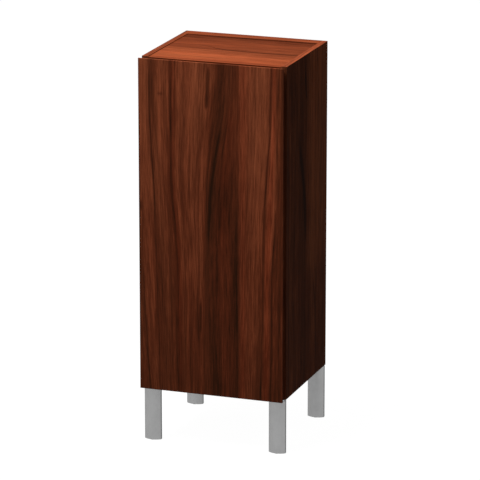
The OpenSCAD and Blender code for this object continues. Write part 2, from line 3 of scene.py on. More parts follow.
import bpy
import numpy as np
from bpy.props import FloatProperty, FloatVectorProperty, IntProperty, PointerProperty
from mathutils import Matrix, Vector


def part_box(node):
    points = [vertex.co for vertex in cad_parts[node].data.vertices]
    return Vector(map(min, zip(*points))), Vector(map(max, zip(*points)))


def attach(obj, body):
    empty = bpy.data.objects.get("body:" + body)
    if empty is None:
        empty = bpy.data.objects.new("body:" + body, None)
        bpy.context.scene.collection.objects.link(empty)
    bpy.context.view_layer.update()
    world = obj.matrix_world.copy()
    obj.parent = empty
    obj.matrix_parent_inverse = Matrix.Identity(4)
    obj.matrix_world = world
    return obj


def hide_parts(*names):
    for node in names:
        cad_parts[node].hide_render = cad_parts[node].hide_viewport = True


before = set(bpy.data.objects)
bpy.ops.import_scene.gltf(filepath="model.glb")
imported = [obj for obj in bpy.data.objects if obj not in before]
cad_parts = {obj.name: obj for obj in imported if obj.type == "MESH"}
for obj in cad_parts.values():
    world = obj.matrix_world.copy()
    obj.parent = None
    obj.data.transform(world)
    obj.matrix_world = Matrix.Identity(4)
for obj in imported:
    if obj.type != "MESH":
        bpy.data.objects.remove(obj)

bl_info = {
    "name": "Tall bathroom cabinet",
    "version": (1, 0, 0),
    "blender": (4, 5, 0),
    "location": "3D View > Sidebar > Cabinet",
    "description": "Dresses the packed cabinet: veneered boards, metal legs, glass and fittings",
    "category": "Object",
}

MM = 0.001
LEG_NAMES = ("front_left", "front_right", "rear_left", "rear_right")


def tint(red, green, blue):
    """A screen colour of 0 to 255 as the linear colour that a shader takes."""
    share = np.array((red, green, blue)) / 255
    linear = np.where(share > 0.04045, ((share + 0.055) / 1.055) ** 2.4, share / 12.92)
    return tuple(float(c) for c in linear)


def colour(label, about, red, green, blue):
    return FloatVectorProperty(
        name=label, description=about, subtype="COLOR", size=3, min=0, max=1, default=tint(red, green, blue)
    )


def length(label, about, millimetres):
    return FloatProperty(name=label, description=about, subtype="DISTANCE", unit="LENGTH",
                         default=millimetres * MM)


def turning(label, about, degrees):
    return FloatProperty(name=label, description=about, subtype="ANGLE", default=math.radians(degrees))


def power(label, about, watts):
    return FloatProperty(name=label, description=about, unit="POWER", default=watts)


class BoardSettings(bpy.types.PropertyGroup):
    """Sizes of the worked edges."""

    door_arris: length("Door arris", "Radius of the edges round the front of the door", 0.6)
    lip_depth: length("Door lip", "Depth of the square lip in front of the bevel", 5)
    bevel_in: length("Door bevel", "How far the bevel runs in towards the back of the door", 10)
    back_arris: length("Back arris", "Radius of the edges round the back of the door", 0.6)
    board_arris: length("Board arris", "Radius of the edges of the other boards", 0.5)
    glass_arris: length("Glass edge", "Radius of the ground edges of the glass shelves", 1.4)


class VeneerSettings(bpy.types.PropertyGroup):
    """Colours of the walnut veneers. The top's tones are lighter than the door's, in part painted light from
    the lamp above, and the sides' tones darker, in part painted shade.
    """

    door_dark: colour("Door, dark", "Dark heartwood lines of the door", 37, 20, 11)
    door_mid: colour("Door, middle", "Ground colour of the door", 78, 37, 21)
    door_light: colour("Door, light", "Lightest growth rings of the door", 126, 66, 41)
    # Side tones: darker than the door's, in part painted shade on the sides that face away from the lamps.
    side_dark: colour("Sides, dark", "Dark lines of the side panels", 34, 16, 9)
    side_mid: colour("Sides, middle", "Ground colour of the side panels", 67, 33, 18)
    side_light: colour("Sides, light", "Lightest growth rings of the side panels", 104, 57, 34)
    # Top tones: lighter than the door's, in part painted light from the lamp above.
    top_dark: colour("Top, dark", "Dark lines of the top", 62, 27, 13)
    top_mid: colour("Top, middle", "Ground colour of the top", 110, 52, 29)
    top_light: colour("Top, light", "Lightest growth rings of the top", 158, 80, 47)
    inner_dark: colour("Inside, dark", "Dark lines of the inner boards", 34, 16, 9)
    inner_mid: colour("Inside, middle", "Ground colour of the inner boards", 68, 33, 20)
    inner_light: colour("Inside, light", "Lightest lines of the inner boards", 100, 54, 34)

    def tones(self, board):
        """Dark, middle and light tone of one board."""
        return [tuple(getattr(self, f"{board}_{tone}")) for tone in ("dark", "mid", "light")]


class MetalSettings(bpy.types.PropertyGroup):
    """Colours and sizes of the legs and fittings."""

    leg_grey: colour("Legs", "Satin grey of the leg profiles", 151, 151, 151)
    nickel: colour("Nickel", "Satin nickel of hinges and shelf supports", 186, 182, 173)
    zinc: colour("Zinc", "Bright zinc of plates and screws", 188, 192, 196)
    casting: colour("Casting", "Raw zinc casting of the cam locks", 150, 150, 148)
    leg_corner: length("Leg corner", "Radius of the upright corners of a leg", 1.1)
    leg_wall: length("Leg wall", "Wall of the leg profile", 2)
    leg_side: length("Leg side", "Depth of the flat sides of a leg", 8)
    leg_bow: length("Leg bow", "How far the front of a leg is bowed", 9)
    foot_pad: length("Foot pad", "Thickness of the round foot pads", 1.2)
    foot_ribs: IntProperty(name="Foot ribs", description="Ribs round the edge of a foot", default=20)


class StageSettings(bpy.types.PropertyGroup):
    """Camera, lamps and background."""

    camera_place: FloatVectorProperty(
        name="Camera", description="Where the camera stands", subtype="TRANSLATION", unit="LENGTH",
        size=3, default=(3.106, -8.712, 3.076),
    )
    pan: turning("Pan", "Turn of the camera to the left", 19.52)
    tilt: turning("Tilt", "Turn of the camera downwards", 15.39)
    lens: FloatProperty(name="Lens", description="Focal length on a 36 mm sensor", default=269.7)
    overhead: power("Overhead lamp", "Strength of the lamp over the cabinet", 106)
    front: power("Front lamp", "Strength of the lamp in front", 28)
    sky: FloatProperty(name="Room light", description="Light from all round", default=0.42)
    floor_tone: colour("Floor", "Pale floor, as it lights the cabinet from below", 138, 138, 138)


# Surfaces


def grid_faces(index, closed_rows=False, closed_columns=False):
    """Four-sided faces between neighbouring points of a grid of point numbers."""
    if closed_rows:
        index = np.vstack([index, index[:1]])
    if closed_columns:
        index = np.hstack([index, index[:, :1]])
    corners = index[:-1, :-1], index[1:, :-1], index[1:, 1:], index[:-1, 1:]
    return np.stack([c.ravel() for c in corners], axis=1)


def outward(points, faces):
    """Turns every face over if the closed shell's signed volume is negative. The volume is a sixth of
    the sum over all triangles of a times (b cross c), and only its sign is needed here."""
    a, b, c, d = (points[faces[:, k]] for k in range(4))
    first = np.einsum("ij,ij->i", a, np.cross(b, c))
    second = np.einsum("ij,ij->i", a, np.cross(c, d))
    return faces[:, ::-1] if (first + second).sum() < 0 else faces


def build(name, points, faces, body, material, stands_for, attributes=None):
    """Puts computed points and faces into a mesh that rides on a body of the frame."""
    faces = outward(points, faces)
    mesh = bpy.data.meshes.new(name)
    mesh.vertices.add(len(points))
    mesh.vertices.foreach_set("co", np.ascontiguousarray(points, np.float32).ravel())
    mesh.loops.add(faces.size)
    mesh.loops.foreach_set("vertex_index", np.ascontiguousarray(faces, np.int32).ravel())
    mesh.polygons.add(len(faces))
    mesh.polygons.foreach_set("loop_start", np.arange(0, faces.size, 4, dtype=np.int32))
    mesh.polygons.foreach_set("use_smooth", np.ones(len(faces), bool))
    mesh.update(calc_edges=True)
    for label, values in (attributes or {}).items():
        layer = mesh.attributes.new(label, "FLOAT_VECTOR", "POINT")
        layer.data.foreach_set("vector", np.ascontiguousarray(values, np.float32).ravel())
    mesh.materials.append(material)
    piece = bpy.data.objects.new(name, mesh)
    bpy.context.scene.collection.objects.link(piece)
    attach(piece, body)
    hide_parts(*stands_for)


def dress(material, *nodes):
    """Gives carried-over CAD nodes one finish."""
    for name in nodes:
        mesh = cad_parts[name].data
        mesh.materials.clear()
        mesh.materials.append(material)


def arc(centre, radius, start, end, steps):
    """Points on a circle from one angle to another, in degrees."""
    angle = np.radians(np.linspace(start, end, steps + 1))
    return np.stack([centre[0] + radius * np.cos(angle), centre[1] + radius * np.sin(angle)], axis=1)


def quarter(radius, steps):
    """Quarter circle from a flat face round to the side next to it, as (out, deep)."""
    turn = np.radians(np.linspace(0, 90, steps + 1))
    return np.stack([radius * np.sin(turn), radius * (1 - np.cos(turn))], axis=1)


def lines_between(low, high, step, margin):
    """Grid lines at about one spacing, with one close to each end so that a flat face shades flat."""
    inner = np.linspace(low + margin, high - margin, max(2, round((high - low) / step)))
    return np.r_[low, inner, high]


def plate(across, up, edge):
    """A flat board with a worked edge, as (across, up, deep).
    The front face is every pair of the grid lines across and up at depth 0. The edge is that face's
    outline, scaled about the middle so that it stands out by edge[k][0] and lies at the depth edge[k][1].
    The back face is the grid scaled to the last outline."""
    middle = np.array([across[0] + across[-1], up[0] + up[-1]]) / 2
    half = np.array([across[-1] - across[0], up[-1] - up[0]]) / 2
    face = np.stack(np.meshgrid(across, up, indexing="ij"), axis=-1).reshape(-1, 2)
    front = np.arange(len(face)).reshape(len(across), len(up))
    rim = np.r_[front[:-1, 0], front[-1, :-1], front[:0:-1, -1], front[0, :0:-1]]

    def scaled(flat, out, deep):
        moved = middle + (flat - middle) * (1 + out / half)
        return np.hstack([moved, np.full((len(moved), 1), deep)])

    rings = [scaled(face[rim], out, deep) for out, deep in edge[:-1]]
    points = np.vstack([scaled(face, 0, 0), *rings, scaled(face, *edge[-1])])
    numbers = len(face) + np.arange(len(rings) * len(rim)).reshape(-1, len(rim))
    back = front + len(face) + numbers.size
    side = grid_faces(np.vstack([rim, numbers, back.ravel()[rim]]), closed_columns=True)
    return points, np.vstack([grid_faces(front), side, grid_faces(back)[:, ::-1]])


def rounded_edge(radius, depth, steps):
    """Edge of a board with both arrises rounded: two quarter circles joined by a straight side, which
    has a line of points close to each, so that it shades flat."""
    bend, hold = quarter(radius, steps), 1.3 * radius
    return np.vstack([bend[1:], (radius, hold), (radius, depth - hold), (bend * (1, -1) + (0, depth))[::-1]])


def turned(profile, steps, ripple):
    """A profile of (radius, height) points turned about the upright axis. The radius is multiplied by
    ripple, a function of the angle and of the place along the profile."""
    angle = np.linspace(0, 2 * np.pi, steps, endpoint=False)
    radius = profile[:, :1] * np.ones(steps)
    radius = radius * ripple(angle[None, :], np.arange(len(profile))[:, None])
    height = profile[:, 1:] * np.ones(steps)
    return poled(np.stack([radius * np.cos(angle), radius * np.sin(angle), height], axis=-1))


def poled(rings):
    """Closes a stack of rings at both ends: a fan of four-sided faces, each over two sides of the end
    ring, meets in a middle point. The number of points round is even."""
    steps = rings.shape[1]
    points = rings.reshape(-1, 3)
    faces = grid_faces(np.arange(len(points)).reshape(-1, steps), closed_columns=True)
    low, high = points[:steps].mean(0), points[-steps:].mean(0)
    pair = np.arange(0, steps, 2)
    spokes = np.stack([pair, (pair + 1) % steps, (pair + 2) % steps], axis=1)
    last = len(points) - steps
    low_fan = np.hstack([np.full((len(pair), 1), len(points)), spokes])
    high_fan = np.hstack([np.full((len(pair), 1), len(points) + 1), spokes[:, ::-1] + last])
    return np.vstack([points, low, high]), np.vstack([faces, low_fan, high_fan])


def copies(points, faces, places, turns):
    """One shape set down at many places: each copy is turned by its own 3 by 3 matrix, then moved."""
    many = np.einsum("nij,vj->nvi", turns, points) + places[:, None, :]
    shift = np.arange(len(places))[:, None, None] * len(points)
    return many.reshape(-1, 3), (faces[None] + shift).reshape(-1, faces.shape[1])


# Materials


class Tree:
    """Short calls for the nodes of a material or of the room."""

    def __init__(self, owner):
        owner.use_nodes = True
        self.nodes, self.links = owner.node_tree.nodes, owner.node_tree.links
        self.nodes.clear()

    def put(self, socket, value):
        if isinstance(value, bpy.types.NodeSocket):
            self.links.new(value, socket)
        elif socket.type == "RGBA":
            socket.default_value = (*value, 1)
        else:
            socket.default_value = value

    def node(self, kind, *values, **settings):
        """A node with its settings, and with the values in its inputs in order."""
        made = self.nodes.new("ShaderNode" + kind)
        for key, value in settings.items():
            setattr(made, key, value)
        for socket, value in zip([s for s in made.inputs if s.enabled], values):
            self.put(socket, value)
        return made

    def out(self, kind, *values, **settings):
        """The first output of such a node."""
        return [s for s in self.node(kind, *values, **settings).outputs if s.enabled][0]

    def maths(self, kind, *values):
        return self.out("Math", *values, operation=kind)

    def seen(self):
        """1 for rays that show the background, also in metal and glass."""
        path = self.node("LightPath").outputs
        glossy = self.maths("MAXIMUM", path["Is Camera Ray"], path["Is Glossy Ray"])
        return self.maths("MAXIMUM", glossy, path["Is Transmission Ray"])


class Recipe(Tree):
    """One material under construction."""

    def __init__(self, name):
        self.material = bpy.data.materials.new(name)
        super().__init__(self.material)
        self.shader = self.node("BsdfPrincipled")
        self.end = self.node("OutputMaterial", self.shader.outputs[0])

    def surface(self, **values):
        for key, value in values.items():
            self.put(self.shader.inputs[key.replace("_", " ")], value)

    def times(self, first, second):
        return self.maths("MULTIPLY", first, second)

    def centred(self, value):
        """A value of 0 to 1 moved to lie round 0."""
        return self.maths("SUBTRACT", value, 0.5)

    def added(self, value, share, base):
        """A share of a value on top of a base."""
        return self.maths("MULTIPLY_ADD", value, share, base)

    def places(self):
        return self.node("TexCoord").outputs["Object"]

    def parts(self, vector):
        return tuple(self.node("SeparateXYZ", vector).outputs)

    def joined(self, *values):
        return self.out("CombineXYZ", *values)

    def facing(self, axis):
        """How far a face looks along an axis, from -1 to 1."""
        return self.parts(self.node("TexCoord").outputs["Normal"])[axis]

    def looks(self, axis, sign=1):
        """1 on faces that look along an axis, or the other way with sign -1, and 0 on the others."""
        return self.ranged(self.facing(axis), 0.6 * sign, 0.8 * sign)

    def noise(self, vector, scale, detail=2, rough=0.5, shift=(0, 0, 0)):
        """Noise of 0 to 1 with so many lumps in a metre along each axis."""
        no_turn = (0, 0, 0)
        return self.out("TexNoise", self.out("Mapping", vector, shift, no_turn, scale), 1, detail, rough)

    def ranged(self, value, low, high, kind="SMOOTHSTEP"):
        """0 at one value, 1 at another, and a smooth step between them."""
        return self.out("MapRange", value, low, high, interpolation_type=kind)

    def ramp(self, value, stops):
        made = self.node("ValToRGB", value)
        points = made.color_ramp.elements
        while len(points) < len(stops):
            points.new(0.5)
        for point, (place, shade) in zip(points, stops):
            point.position = place
            point.color = (*shade, 1)
        return made.outputs[0]

    def mixed(self, share, first, second, kind="MIX"):
        return self.out("Mix", share, first, second, data_type="RGBA", blend_type=kind)

    def tinted(self, shade, factors):
        """A colour with its red, green and blue multiplied."""
        return self.mixed(1.0, shade, factors, "MULTIPLY")

    def clouded(self, cloud, dim, bright):
        """A tone that drifts between two as a noise rises and falls."""
        return self.mixed(self.ranged(cloud, 0.3, 0.7), dim, bright)

    def curve(self, value, points):
        """A value of 0 to 1 read from a smooth curve through given points."""
        made = self.node("FloatCurve", 1.0, value)
        line = made.mapping.curves[0]
        while len(line.points) < len(points):
            line.points.new(0.5, 0.5)
        for point, place in zip(line.points, points):
            point.location = place
        made.mapping.update()
        return made.outputs[0]

    def rounded(self, radius):
        return self.out("Bevel", radius, samples=4)

    def relief(self, height, distance, strength, normal=None):
        made = self.node("Bump")
        values = {"Height": height, "Distance": distance, "Strength": strength, "Normal": normal}
        for key, value in values.items():
            if value is not None:
                self.put(made.inputs[key], value)
        return made.outputs[0]


def dimmed(tone, share):
    """A colour at a share of its brightness, and no brighter than white."""
    return tuple(min(1, c * share) for c in tone)


def between(first, second):
    return tuple((a + b) / 2 for a, b in zip(first, second))


# Layers of the veneer's grain. Each has its lumps in a metre across, along and deep, the noise's detail
# and roughness, how far the seed shifts it along each axis, and its weight in the lightness.

GRAIN = {
    "rings": ((46, 0.75, 46), 3, 0.6, (1, 1, 1), 1.1),
    "lines": ((125, 3.7, 125), 5, 0.66, (3, 0, 1), 1.35),
    "threads": ((330, 15, 330), 3, 0.65, (1, 1, 0), 1.3),
    "fibre": ((1150, 9, 1150), 2, 0.6, (0, 0, 0), 0.5),
}
PORES = (2100, 55, 2100)
PORE_DARK, PORE_ROUGH = -0.13, 0.12

# Slow noises: two that bend the grain, with how far in metres, one of lightness and one of warmth.

WANDER_SCALE, WAVER_SCALE, WAVER_SHARE = (5, 1.1, 5), (22, 9, 22), 0.15
WANDER = 0.022
GLOW_SCALE, GLOW_WEIGHT = (9, 7, 9), 0.3
WARM_SCALE, WARM_SHARE = (26, 1.6, 26), 0.35

# How ragged the listed lines are and how dark, the places of the tones in the lightness, and the shares
# of red, green and blue in warm and in reddish wood.

FRAY, LINE_DARK = 0.9, -0.4
TONE_STOPS = (0.0, 0.27, 0.5, 0.76, 1.0)
WARM, RED = (1.12, 0.9, 0.86), (1.25, 0.8, 0.72)


def veneer(mat, tones, vector, contrast, seed=0.0, arris=0.0, gloss=0.42, figure=None, streaks=None):
    """Walnut veneer. Growth rings, growth lines, fine fibre and open pores are noises stretched along
    the grain, added up to one lightness that picks a colour between the dark, middle and light tone.
    The grain's own coordinates are (across, along, deep) in metres. Returns the colour."""
    dark, middle, light = tones
    wander = mat.centred(mat.noise(vector, WANDER_SCALE, shift=(seed, seed * 2, 0)))
    waver = mat.centred(mat.noise(vector, WAVER_SCALE, shift=(0, seed, seed)))
    bend = mat.added(waver, WAVER_SHARE, wander)
    across, along, deep = mat.parts(vector)
    grain = mat.joined(mat.added(bend, WANDER, across), along, mat.added(bend, WANDER, deep))
    layers, level = {}, 0.5
    for name, (scale, detail, rough, shift, weight) in GRAIN.items():
        layers[name] = mat.noise(grain, scale, detail, rough, tuple(s * seed for s in shift))
        level = mat.added(mat.centred(layers[name]), weight * contrast, level)
    glow = mat.noise(vector, GLOW_SCALE, shift=(0, seed, 0))
    level = mat.added(mat.centred(glow), GLOW_WEIGHT * contrast, level)
    if figure is not None:
        line, lift, red = mat.parts(figure)
        frayed = mat.added(mat.centred(layers["lines"]), FRAY, line)
        level = mat.added(mat.ranged(frayed, 0.05, 0.95), LINE_DARK, mat.maths("ADD", level, lift))
    if streaks is not None:
        level = streaks(mat, level, layers["lines"])
    open_pore = mat.ranged(mat.noise(grain, PORES, 1), 0.6, 0.72)
    level = mat.added(open_pore, PORE_DARK, level)
    shades = dark, between(dark, middle), middle, between(middle, light), light
    shade = mat.ramp(level, tuple(zip(TONE_STOPS, shades)))
    warm = mat.ranged(mat.noise(vector, WARM_SCALE, shift=(0, 0, seed + 3)), 0.3, 0.7)
    shade = mat.mixed(mat.times(warm, WARM_SHARE), shade, mat.tinted(shade, WARM))
    if figure is not None:
        shade = mat.mixed(red, shade, mat.tinted(shade, RED))
    rough = mat.added(open_pore, PORE_ROUGH, mat.added(layers["fibre"], 0.12, gloss - 0.06))
    height = mat.maths("SUBTRACT", mat.times(layers["fibre"], 0.25), open_pore)
    base = mat.rounded(arris) if arris else None
    mat.surface(Base_Color=shade, Roughness=rough, Normal=mat.relief(height, 0.05 * MM, 0.7, base))
    mat.surface(Specular_IOR_Level=0.0, Coat_Weight=0.015, Coat_Roughness=0.3)
    return shade


def satin_metal(name, tone, rough, along, arris=0.0, blotch=0.05, patch=60, shaded_flank=1.0):
    """Satin metal: fine drawing lines along one axis vary the roughness, and slow clouds vary the tone.
    The arris is in millimetres. Faces that look left or right are darkened to the given share of the tone:
    painted shade on the sides of a leg, which stand in shade."""
    mat = Recipe(name)
    place = mat.places()
    drawn = mat.noise(place, along, 3, 0.6)
    cloud = mat.noise(place, (patch,) * 3, 3, 0.6)
    dim = dimmed(tone, 1 - 2 * blotch)
    shade = mat.clouded(cloud, dim, dimmed(tone, 1 + 2 * blotch))
    shade = mat.mixed(mat.times(mat.ranged(drawn, 0.35, 0.65), 0.12), shade, dim)
    # Painted shade: faces that look left or right are darkened.
    if shaded_flank < 1:
        sideways_shade = mat.ranged(mat.maths("ABSOLUTE", mat.facing(0)), 0.7, 0.85)
        shade = mat.mixed(mat.times(sideways_shade, 1 - shaded_flank), shade, (0, 0, 0))
    mat.surface(Base_Color=shade, Metallic=1.0, Roughness=mat.added(drawn, 0.14, rough - 0.07))
    mat.surface(Normal=mat.relief(drawn, 0.02 * MM, 0.4, mat.rounded(arris * MM)))
    return mat.material


def moulded(name, tone, rough, grain=1400, clear=0.0):
    """Moulded plastic: a fine spark-eroded grain in the relief and slow clouds in the tone."""
    mat = Recipe(name)
    place = mat.places()
    skin = mat.noise(place, (grain,) * 3, 2, 0.6)
    shade = mat.clouded(mat.noise(place, (90, 90, 90)), dimmed(tone, 0.9), tone)
    mat.surface(Base_Color=shade, Roughness=mat.added(skin, 0.12, rough - 0.06))
    mat.surface(Normal=mat.relief(skin, 0.02 * MM, 0.5, mat.rounded(0.3 * MM)))
    if clear:
        mat.surface(Transmission_Weight=clear, IOR=1.45)
    return mat.material


def float_glass(name):
    """Clear float glass: almost colourless through its faces, bottle green at its ground edges."""
    mat = Recipe(name)
    edge = mat.ranged(mat.maths("ABSOLUTE", mat.facing(2)), 0.9, 0.2)
    ground = mat.noise(mat.places(), (300, 300, 1800))
    mat.surface(Base_Color=mat.mixed(edge, (0.93, 0.985, 0.965), (0.36, 0.72, 0.6)))
    mat.surface(Roughness=mat.times(edge, mat.added(ground, 0.16, 0.06)))
    mat.surface(Transmission_Weight=1.0, IOR=1.5)
    return mat.material


def beech_wood(name):
    """Turned beech: pale straight grain with short dark flecks."""
    mat = Recipe(name)
    place = mat.places()
    grain = mat.noise(place, (40, 900, 900), 3, 0.6)
    fleck = mat.ranged(mat.noise(place, (300, 2600, 2600), 1), 0.62, 0.7)
    shade = mat.ramp(grain, ((0.3, tint(176, 128, 82)), (0.7, tint(208, 164, 114))))
    mat.surface(Base_Color=mat.mixed(mat.times(fleck, 0.5), shade, tint(132, 86, 50)), Roughness=0.6)
    mat.surface(Normal=mat.relief(grain, 0.06 * MM, 0.6))
    return mat.material


# The figure of the door's veneer, in millimetres down from its top edge and in from its left edge.
# Two leaves of veneer meet at the join, and the figure changes there within a few hairs' width.

DOOR_JOIN, JOIN_HALF = 278, 0.1

# Each flow line has its place in the straightened grain, and the points (down, in) that it passes through.

DOOR_FLOW = (
    (-4, ((0, -4), (900, -4))),
    (12, ((0, 8), (300, 8), (500, 9), (600, 12), (700, 17), (800, 23), (900, 31))),
    (43, ((0, 31), (50, 30), (150, 31), (230, 35), (300, 40), (380, 45), (560, 49), (700, 53), (900, 57))),
    (100, ((0, 90), (300, 90), (370, 93), (440, 102), (500, 106), (600, 110), (900, 113))),
    (190, ((0, 209), (60, 205), (150, 200), (260, 193), (300, 190), (400, 186), (500, 184), (600, 181),
           (900, 179))),
    (216, ((0, 244), (60, 241), (120, 236), (170, 228), (220, 219), (260, 212), (300, 205), (350, 200),
           (400, 196), (450, 194), (900, 196))),
    (DOOR_JOIN, ((0, DOOR_JOIN), (900, DOOR_JOIN))),
    (350, ((0, 369), (60, 367), (100, 366), (190, 364), (240, 358), (300, 355), (370, 350), (450, 347),
           (600, 345), (700, 344), (780, 342), (900, 338))),
    (376, ((0, 386), (200, 384), (360, 382), (420, 380), (480, 375), (540, 371), (600, 369), (780, 369),
           (900, 366))),
    (404, ((0, 404), (900, 404))),
)

# Dark lines: place in the grain, half width, and strength down the door.

DOOR_LINES = (
    (43, 2.4, ((0, 0.5), (60, 0.85), (230, 0.8), (380, 0.85), (430, 0.65), (560, 0.55), (900, 0.5))),
    (48, 7.0, ((0, 0.55), (60, 0.5), (120, 0.4), (190, 0))),
    (3, 5.0, ((110, 0), (170, 0.6), (420, 0.7), (560, 0.85), (640, 0.35), (700, 0))),
    (12, 1.8, ((0, 0), (300, 0.15), (400, 0.6), (900, 0.85))),
    (100, 5.0, ((0, 0.5), (150, 0.6), (300, 0.65), (440, 0.6), (520, 0.35), (650, 0.2), (900, 0.1))),
    (109, 3.0, ((0, 0.5), (120, 0.4), (260, 0.2), (400, 0))),
    (127, 2.4, ((0, 0), (40, 0.5), (130, 0.45), (160, 0))),
    (144, 1.6, ((150, 0), (220, 0.3), (330, 0.3), (420, 0))),
    (160, 1.6, ((300, 0), (380, 0.3), (560, 0.35), (640, 0))),
    (180, 4.0, ((8, 0.4), (30, 1.1), (95, 1.2), (114, 0.9), (126, 0))),
    (193, 3.0, ((120, 0), (180, 0.35), (260, 0.45), (420, 0.5), (520, 0.2), (700, 0))),
    (216, 5.2, ((0, 0.25), (60, 0.4), (150, 0.55), (220, 0.75), (330, 0.8), (420, 0.65), (470, 0.35),
                (530, 0))),
    (207, 6.0, ((0, 0.5), (120, 0.4), (260, 0.3), (330, 0))),
    (271, 9.0, ((0, 0.3), (150, 0.3), (320, 0.45), (450, 0.55), (700, 0.65), (760, 0.4), (900, 0.45))),
    (262, 3.4, ((0, 0.25), (200, 0.2), (330, 0.35), (500, 0.2), (720, 0.1), (900, 0.2))),
    (227, 5.0, ((560, 0), (650, 0.25), (760, 0.35), (900, 0.38))),
    (300, 1.5, ((0, 0.35), (260, 0.3), (420, 0))),
    (316, 1.5, ((120, 0), (300, 0.35), (520, 0.25), (900, 0.2))),
    (350, 3.2, ((0, 0.85), (100, 0.95), (200, 0.85), (300, 0.85), (370, 0.75), (450, 0.7), (900, 0.75))),
    (344, 5.0, ((450, 0), (540, 0.4), (700, 0.5), (900, 0.5))),
    (376, 3.0, ((340, 0), (420, 0.75), (480, 0.9), (600, 0.75), (780, 0.8), (900, 0.85))),
    (369, 4.0, ((0, 0.3), (120, 0.2), (300, 0.0))),
    (393, 5.0, ((0, 0.5), (160, 0.3), (420, 0.3), (640, 0.45), (900, 0.4))),
    (56, 1.7, ((500, 0), (560, 0.6), (680, 0.6), (720, 0))),
    (80, 4.0, ((420, 0), (530, 0.5), (700, 0.5), (780, 0.3), (900, 0.25))),
    (150, 3.0, ((600, 0), (700, 0.3), (900, 0.3))),
    (172, 13.0, ((620, 0), (690, 0.6), (720, 0.55), (790, 0))),
    (179, 4.2, ((630, 0), (660, 1.0), (715, 1.0), (745, 0))),
)

# Reddish lines, in the same form.

DOOR_REDS = (
    (244, 16, ((60, 0), (150, 0.3), (420, 0.3), (520, 0.12))),
    (362, 8, ((0, 0.4),)),
    (290, 10, ((0, 0.3),)),
    (104, 8, ((0, 0.3),)),
)

# Pale and dark zones: place in the grain and lightness.

DOOR_ZONES = (
    (-4, 0.14), (8, 0.17), (34, 0.15), (44, 0.0), (60, 0.1), (88, 0.05), (98, -0.1), (110, -0.03),
    (122, 0.06), (140, 0.08), (176, 0.08), (184, 0.03), (196, -0.15), (225, -0.14), (262, -0.13),
    (DOOR_JOIN - JOIN_HALF, -0.1), (DOOR_JOIN + JOIN_HALF, 0.1), (300, 0.12), (336, 0.14), (350, 0.07),
    (360, 0.1), (372, 0.05), (380, -0.08), (404, -0.12),
)

# Down the door: how strong the zones are, and how light the whole of it is, which is painted light: lighter
# at the top and darker at the bottom, as the lamp above falls on it.

ZONE_STRENGTH = ((0, 1.0), (450, 0.95), (900, 0.7))
DOOR_PAINTED_LIGHT = ((0, 0.09), (250, 0.06), (500, 0.0), (900, -0.08))

# Broad clouds of lightness: place in the grain, half width, down, half height, and lightness.

DOOR_CLOUDS = (
    (236, 34, 375, 85, -0.2), (236, 34, 120, 200, -0.05), (335, 45, 230, 110, 0.15),
    (330, 48, 640, 300, 0.09), (150, 34, 80, 110, 0.07), (150, 34, 550, 60, 0.08),
    (50, 36, 350, 60, 0.06), (250, 34, 860, 50, -0.07), (62, 10, 30, 50, -0.12),
    (212, 16, 740, 160, 0.06), (182, 9, 800, 150, -0.08), (120, 60, 60, 60, 0.06),
    (50, 45, 650, 110, -0.05), (50, 50, 880, 60, -0.04),
)

# Small dark marks: in from the left, half width, down, half height, and strength.

DOOR_MARKS = (
    (61, 11, 91, 5, 0.55), (4, 8, 395, 16, 0.9), (356, 6, 250, 2.2, 0.6), (360, 17, 302, 2, 0.45),
    (312, 10, 626, 2, 0.3), (75, 6, 676, 3, 0.5), (148, 4, 490, 3, 0.4),
)


def flowing(down, points):
    """A flow line's place at each depth down the door: straight runs between its points, then averaged
    over a short bell-shaped window so that the line bends without corners."""
    above, below, step = -100, 1000, 5
    reach, spread = 12, 5
    table = np.arange(above, below + step, step)
    line = np.interp(table, *np.transpose(points))
    bell = np.exp(-0.5 * (np.arange(-reach, reach + 1) / spread) ** 2)
    smooth = np.convolve(np.pad(line, reach, mode="edge"), bell / bell.sum(), mode="valid")
    return np.interp(down, table, smooth)


def door_grain(across, down):
    """Straightens the grain: between two neighbouring flow lines, a point's place in the grain runs
    from one line's resting place to the other's as the point crosses from line to line."""
    rest = np.array([place for place, _ in DOOR_FLOW], float)
    lines = np.stack([flowing(down, points) for _, points in DOOR_FLOW])
    share = np.clip((across - lines[:-1]) / (lines[1:] - lines[:-1]), 0, 1)
    return rest[0] + (share * np.diff(rest)[:, None]).sum(0)


def bands(place, down, table):
    """Each line of a table: its strength at that height times a bell of the distance from it."""
    for middle, half, strength in table:
        yield np.exp(-(((place - middle) / half) ** 2)) * np.interp(down, *np.transpose(strength))


def spots(across, down, table):
    """Each spot of a table: its strength times a bell of the distance from its middle."""
    for middle, half, low, tall, strength in table:
        yield strength * np.exp(-(((across - middle) / half) ** 2) - ((down - low) / tall) ** 2)


def door_figure(across, down):
    """Dark lines, lightness and redness of the door's veneer at every point, after its place in the
    grain. Where dark lines and marks cross, the darkest one shows. Clouds and reddish lines add up."""
    place = door_grain(across, down)
    dark = np.max([*bands(place, down, DOOR_LINES), *spots(across, down, DOOR_MARKS)], axis=0)
    lift = np.interp(place, *np.transpose(DOOR_ZONES)) * np.interp(down, *np.transpose(ZONE_STRENGTH))
    # Painted light: the door is lighter at the top and darker at the bottom.
    lift += np.interp(down, *np.transpose(DOOR_PAINTED_LIGHT)) + sum(spots(place, down, DOOR_CLOUDS))
    red = np.clip(sum(bands(place, down, DOOR_REDS)), 0, 1)
    return place, np.stack([dark, lift, red], axis=1)


# Each lamp's place, the point that it is aimed at, and its width, in metres.

LAMPS = {
    "overhead": ((-0.95, -0.9, 3.3), (0, -0.05, 0.9), 1.5),
    "front": ((-1.5, -3.4, 1.9), (0, 0, 0.6), 1.8),
}

# The camera's sensor in millimetres and how far it sees, half the floor's width, the floor's grid lines,
# and how the camera sees the floor: its own light, and its grey where light falls on it.

SENSOR, FARTHEST = 36, 60
FLOOR_HALF, FLOOR_LINES = 9, 13
FLOOR_GLOW, FLOOR_GREY = 0.975, 0.07


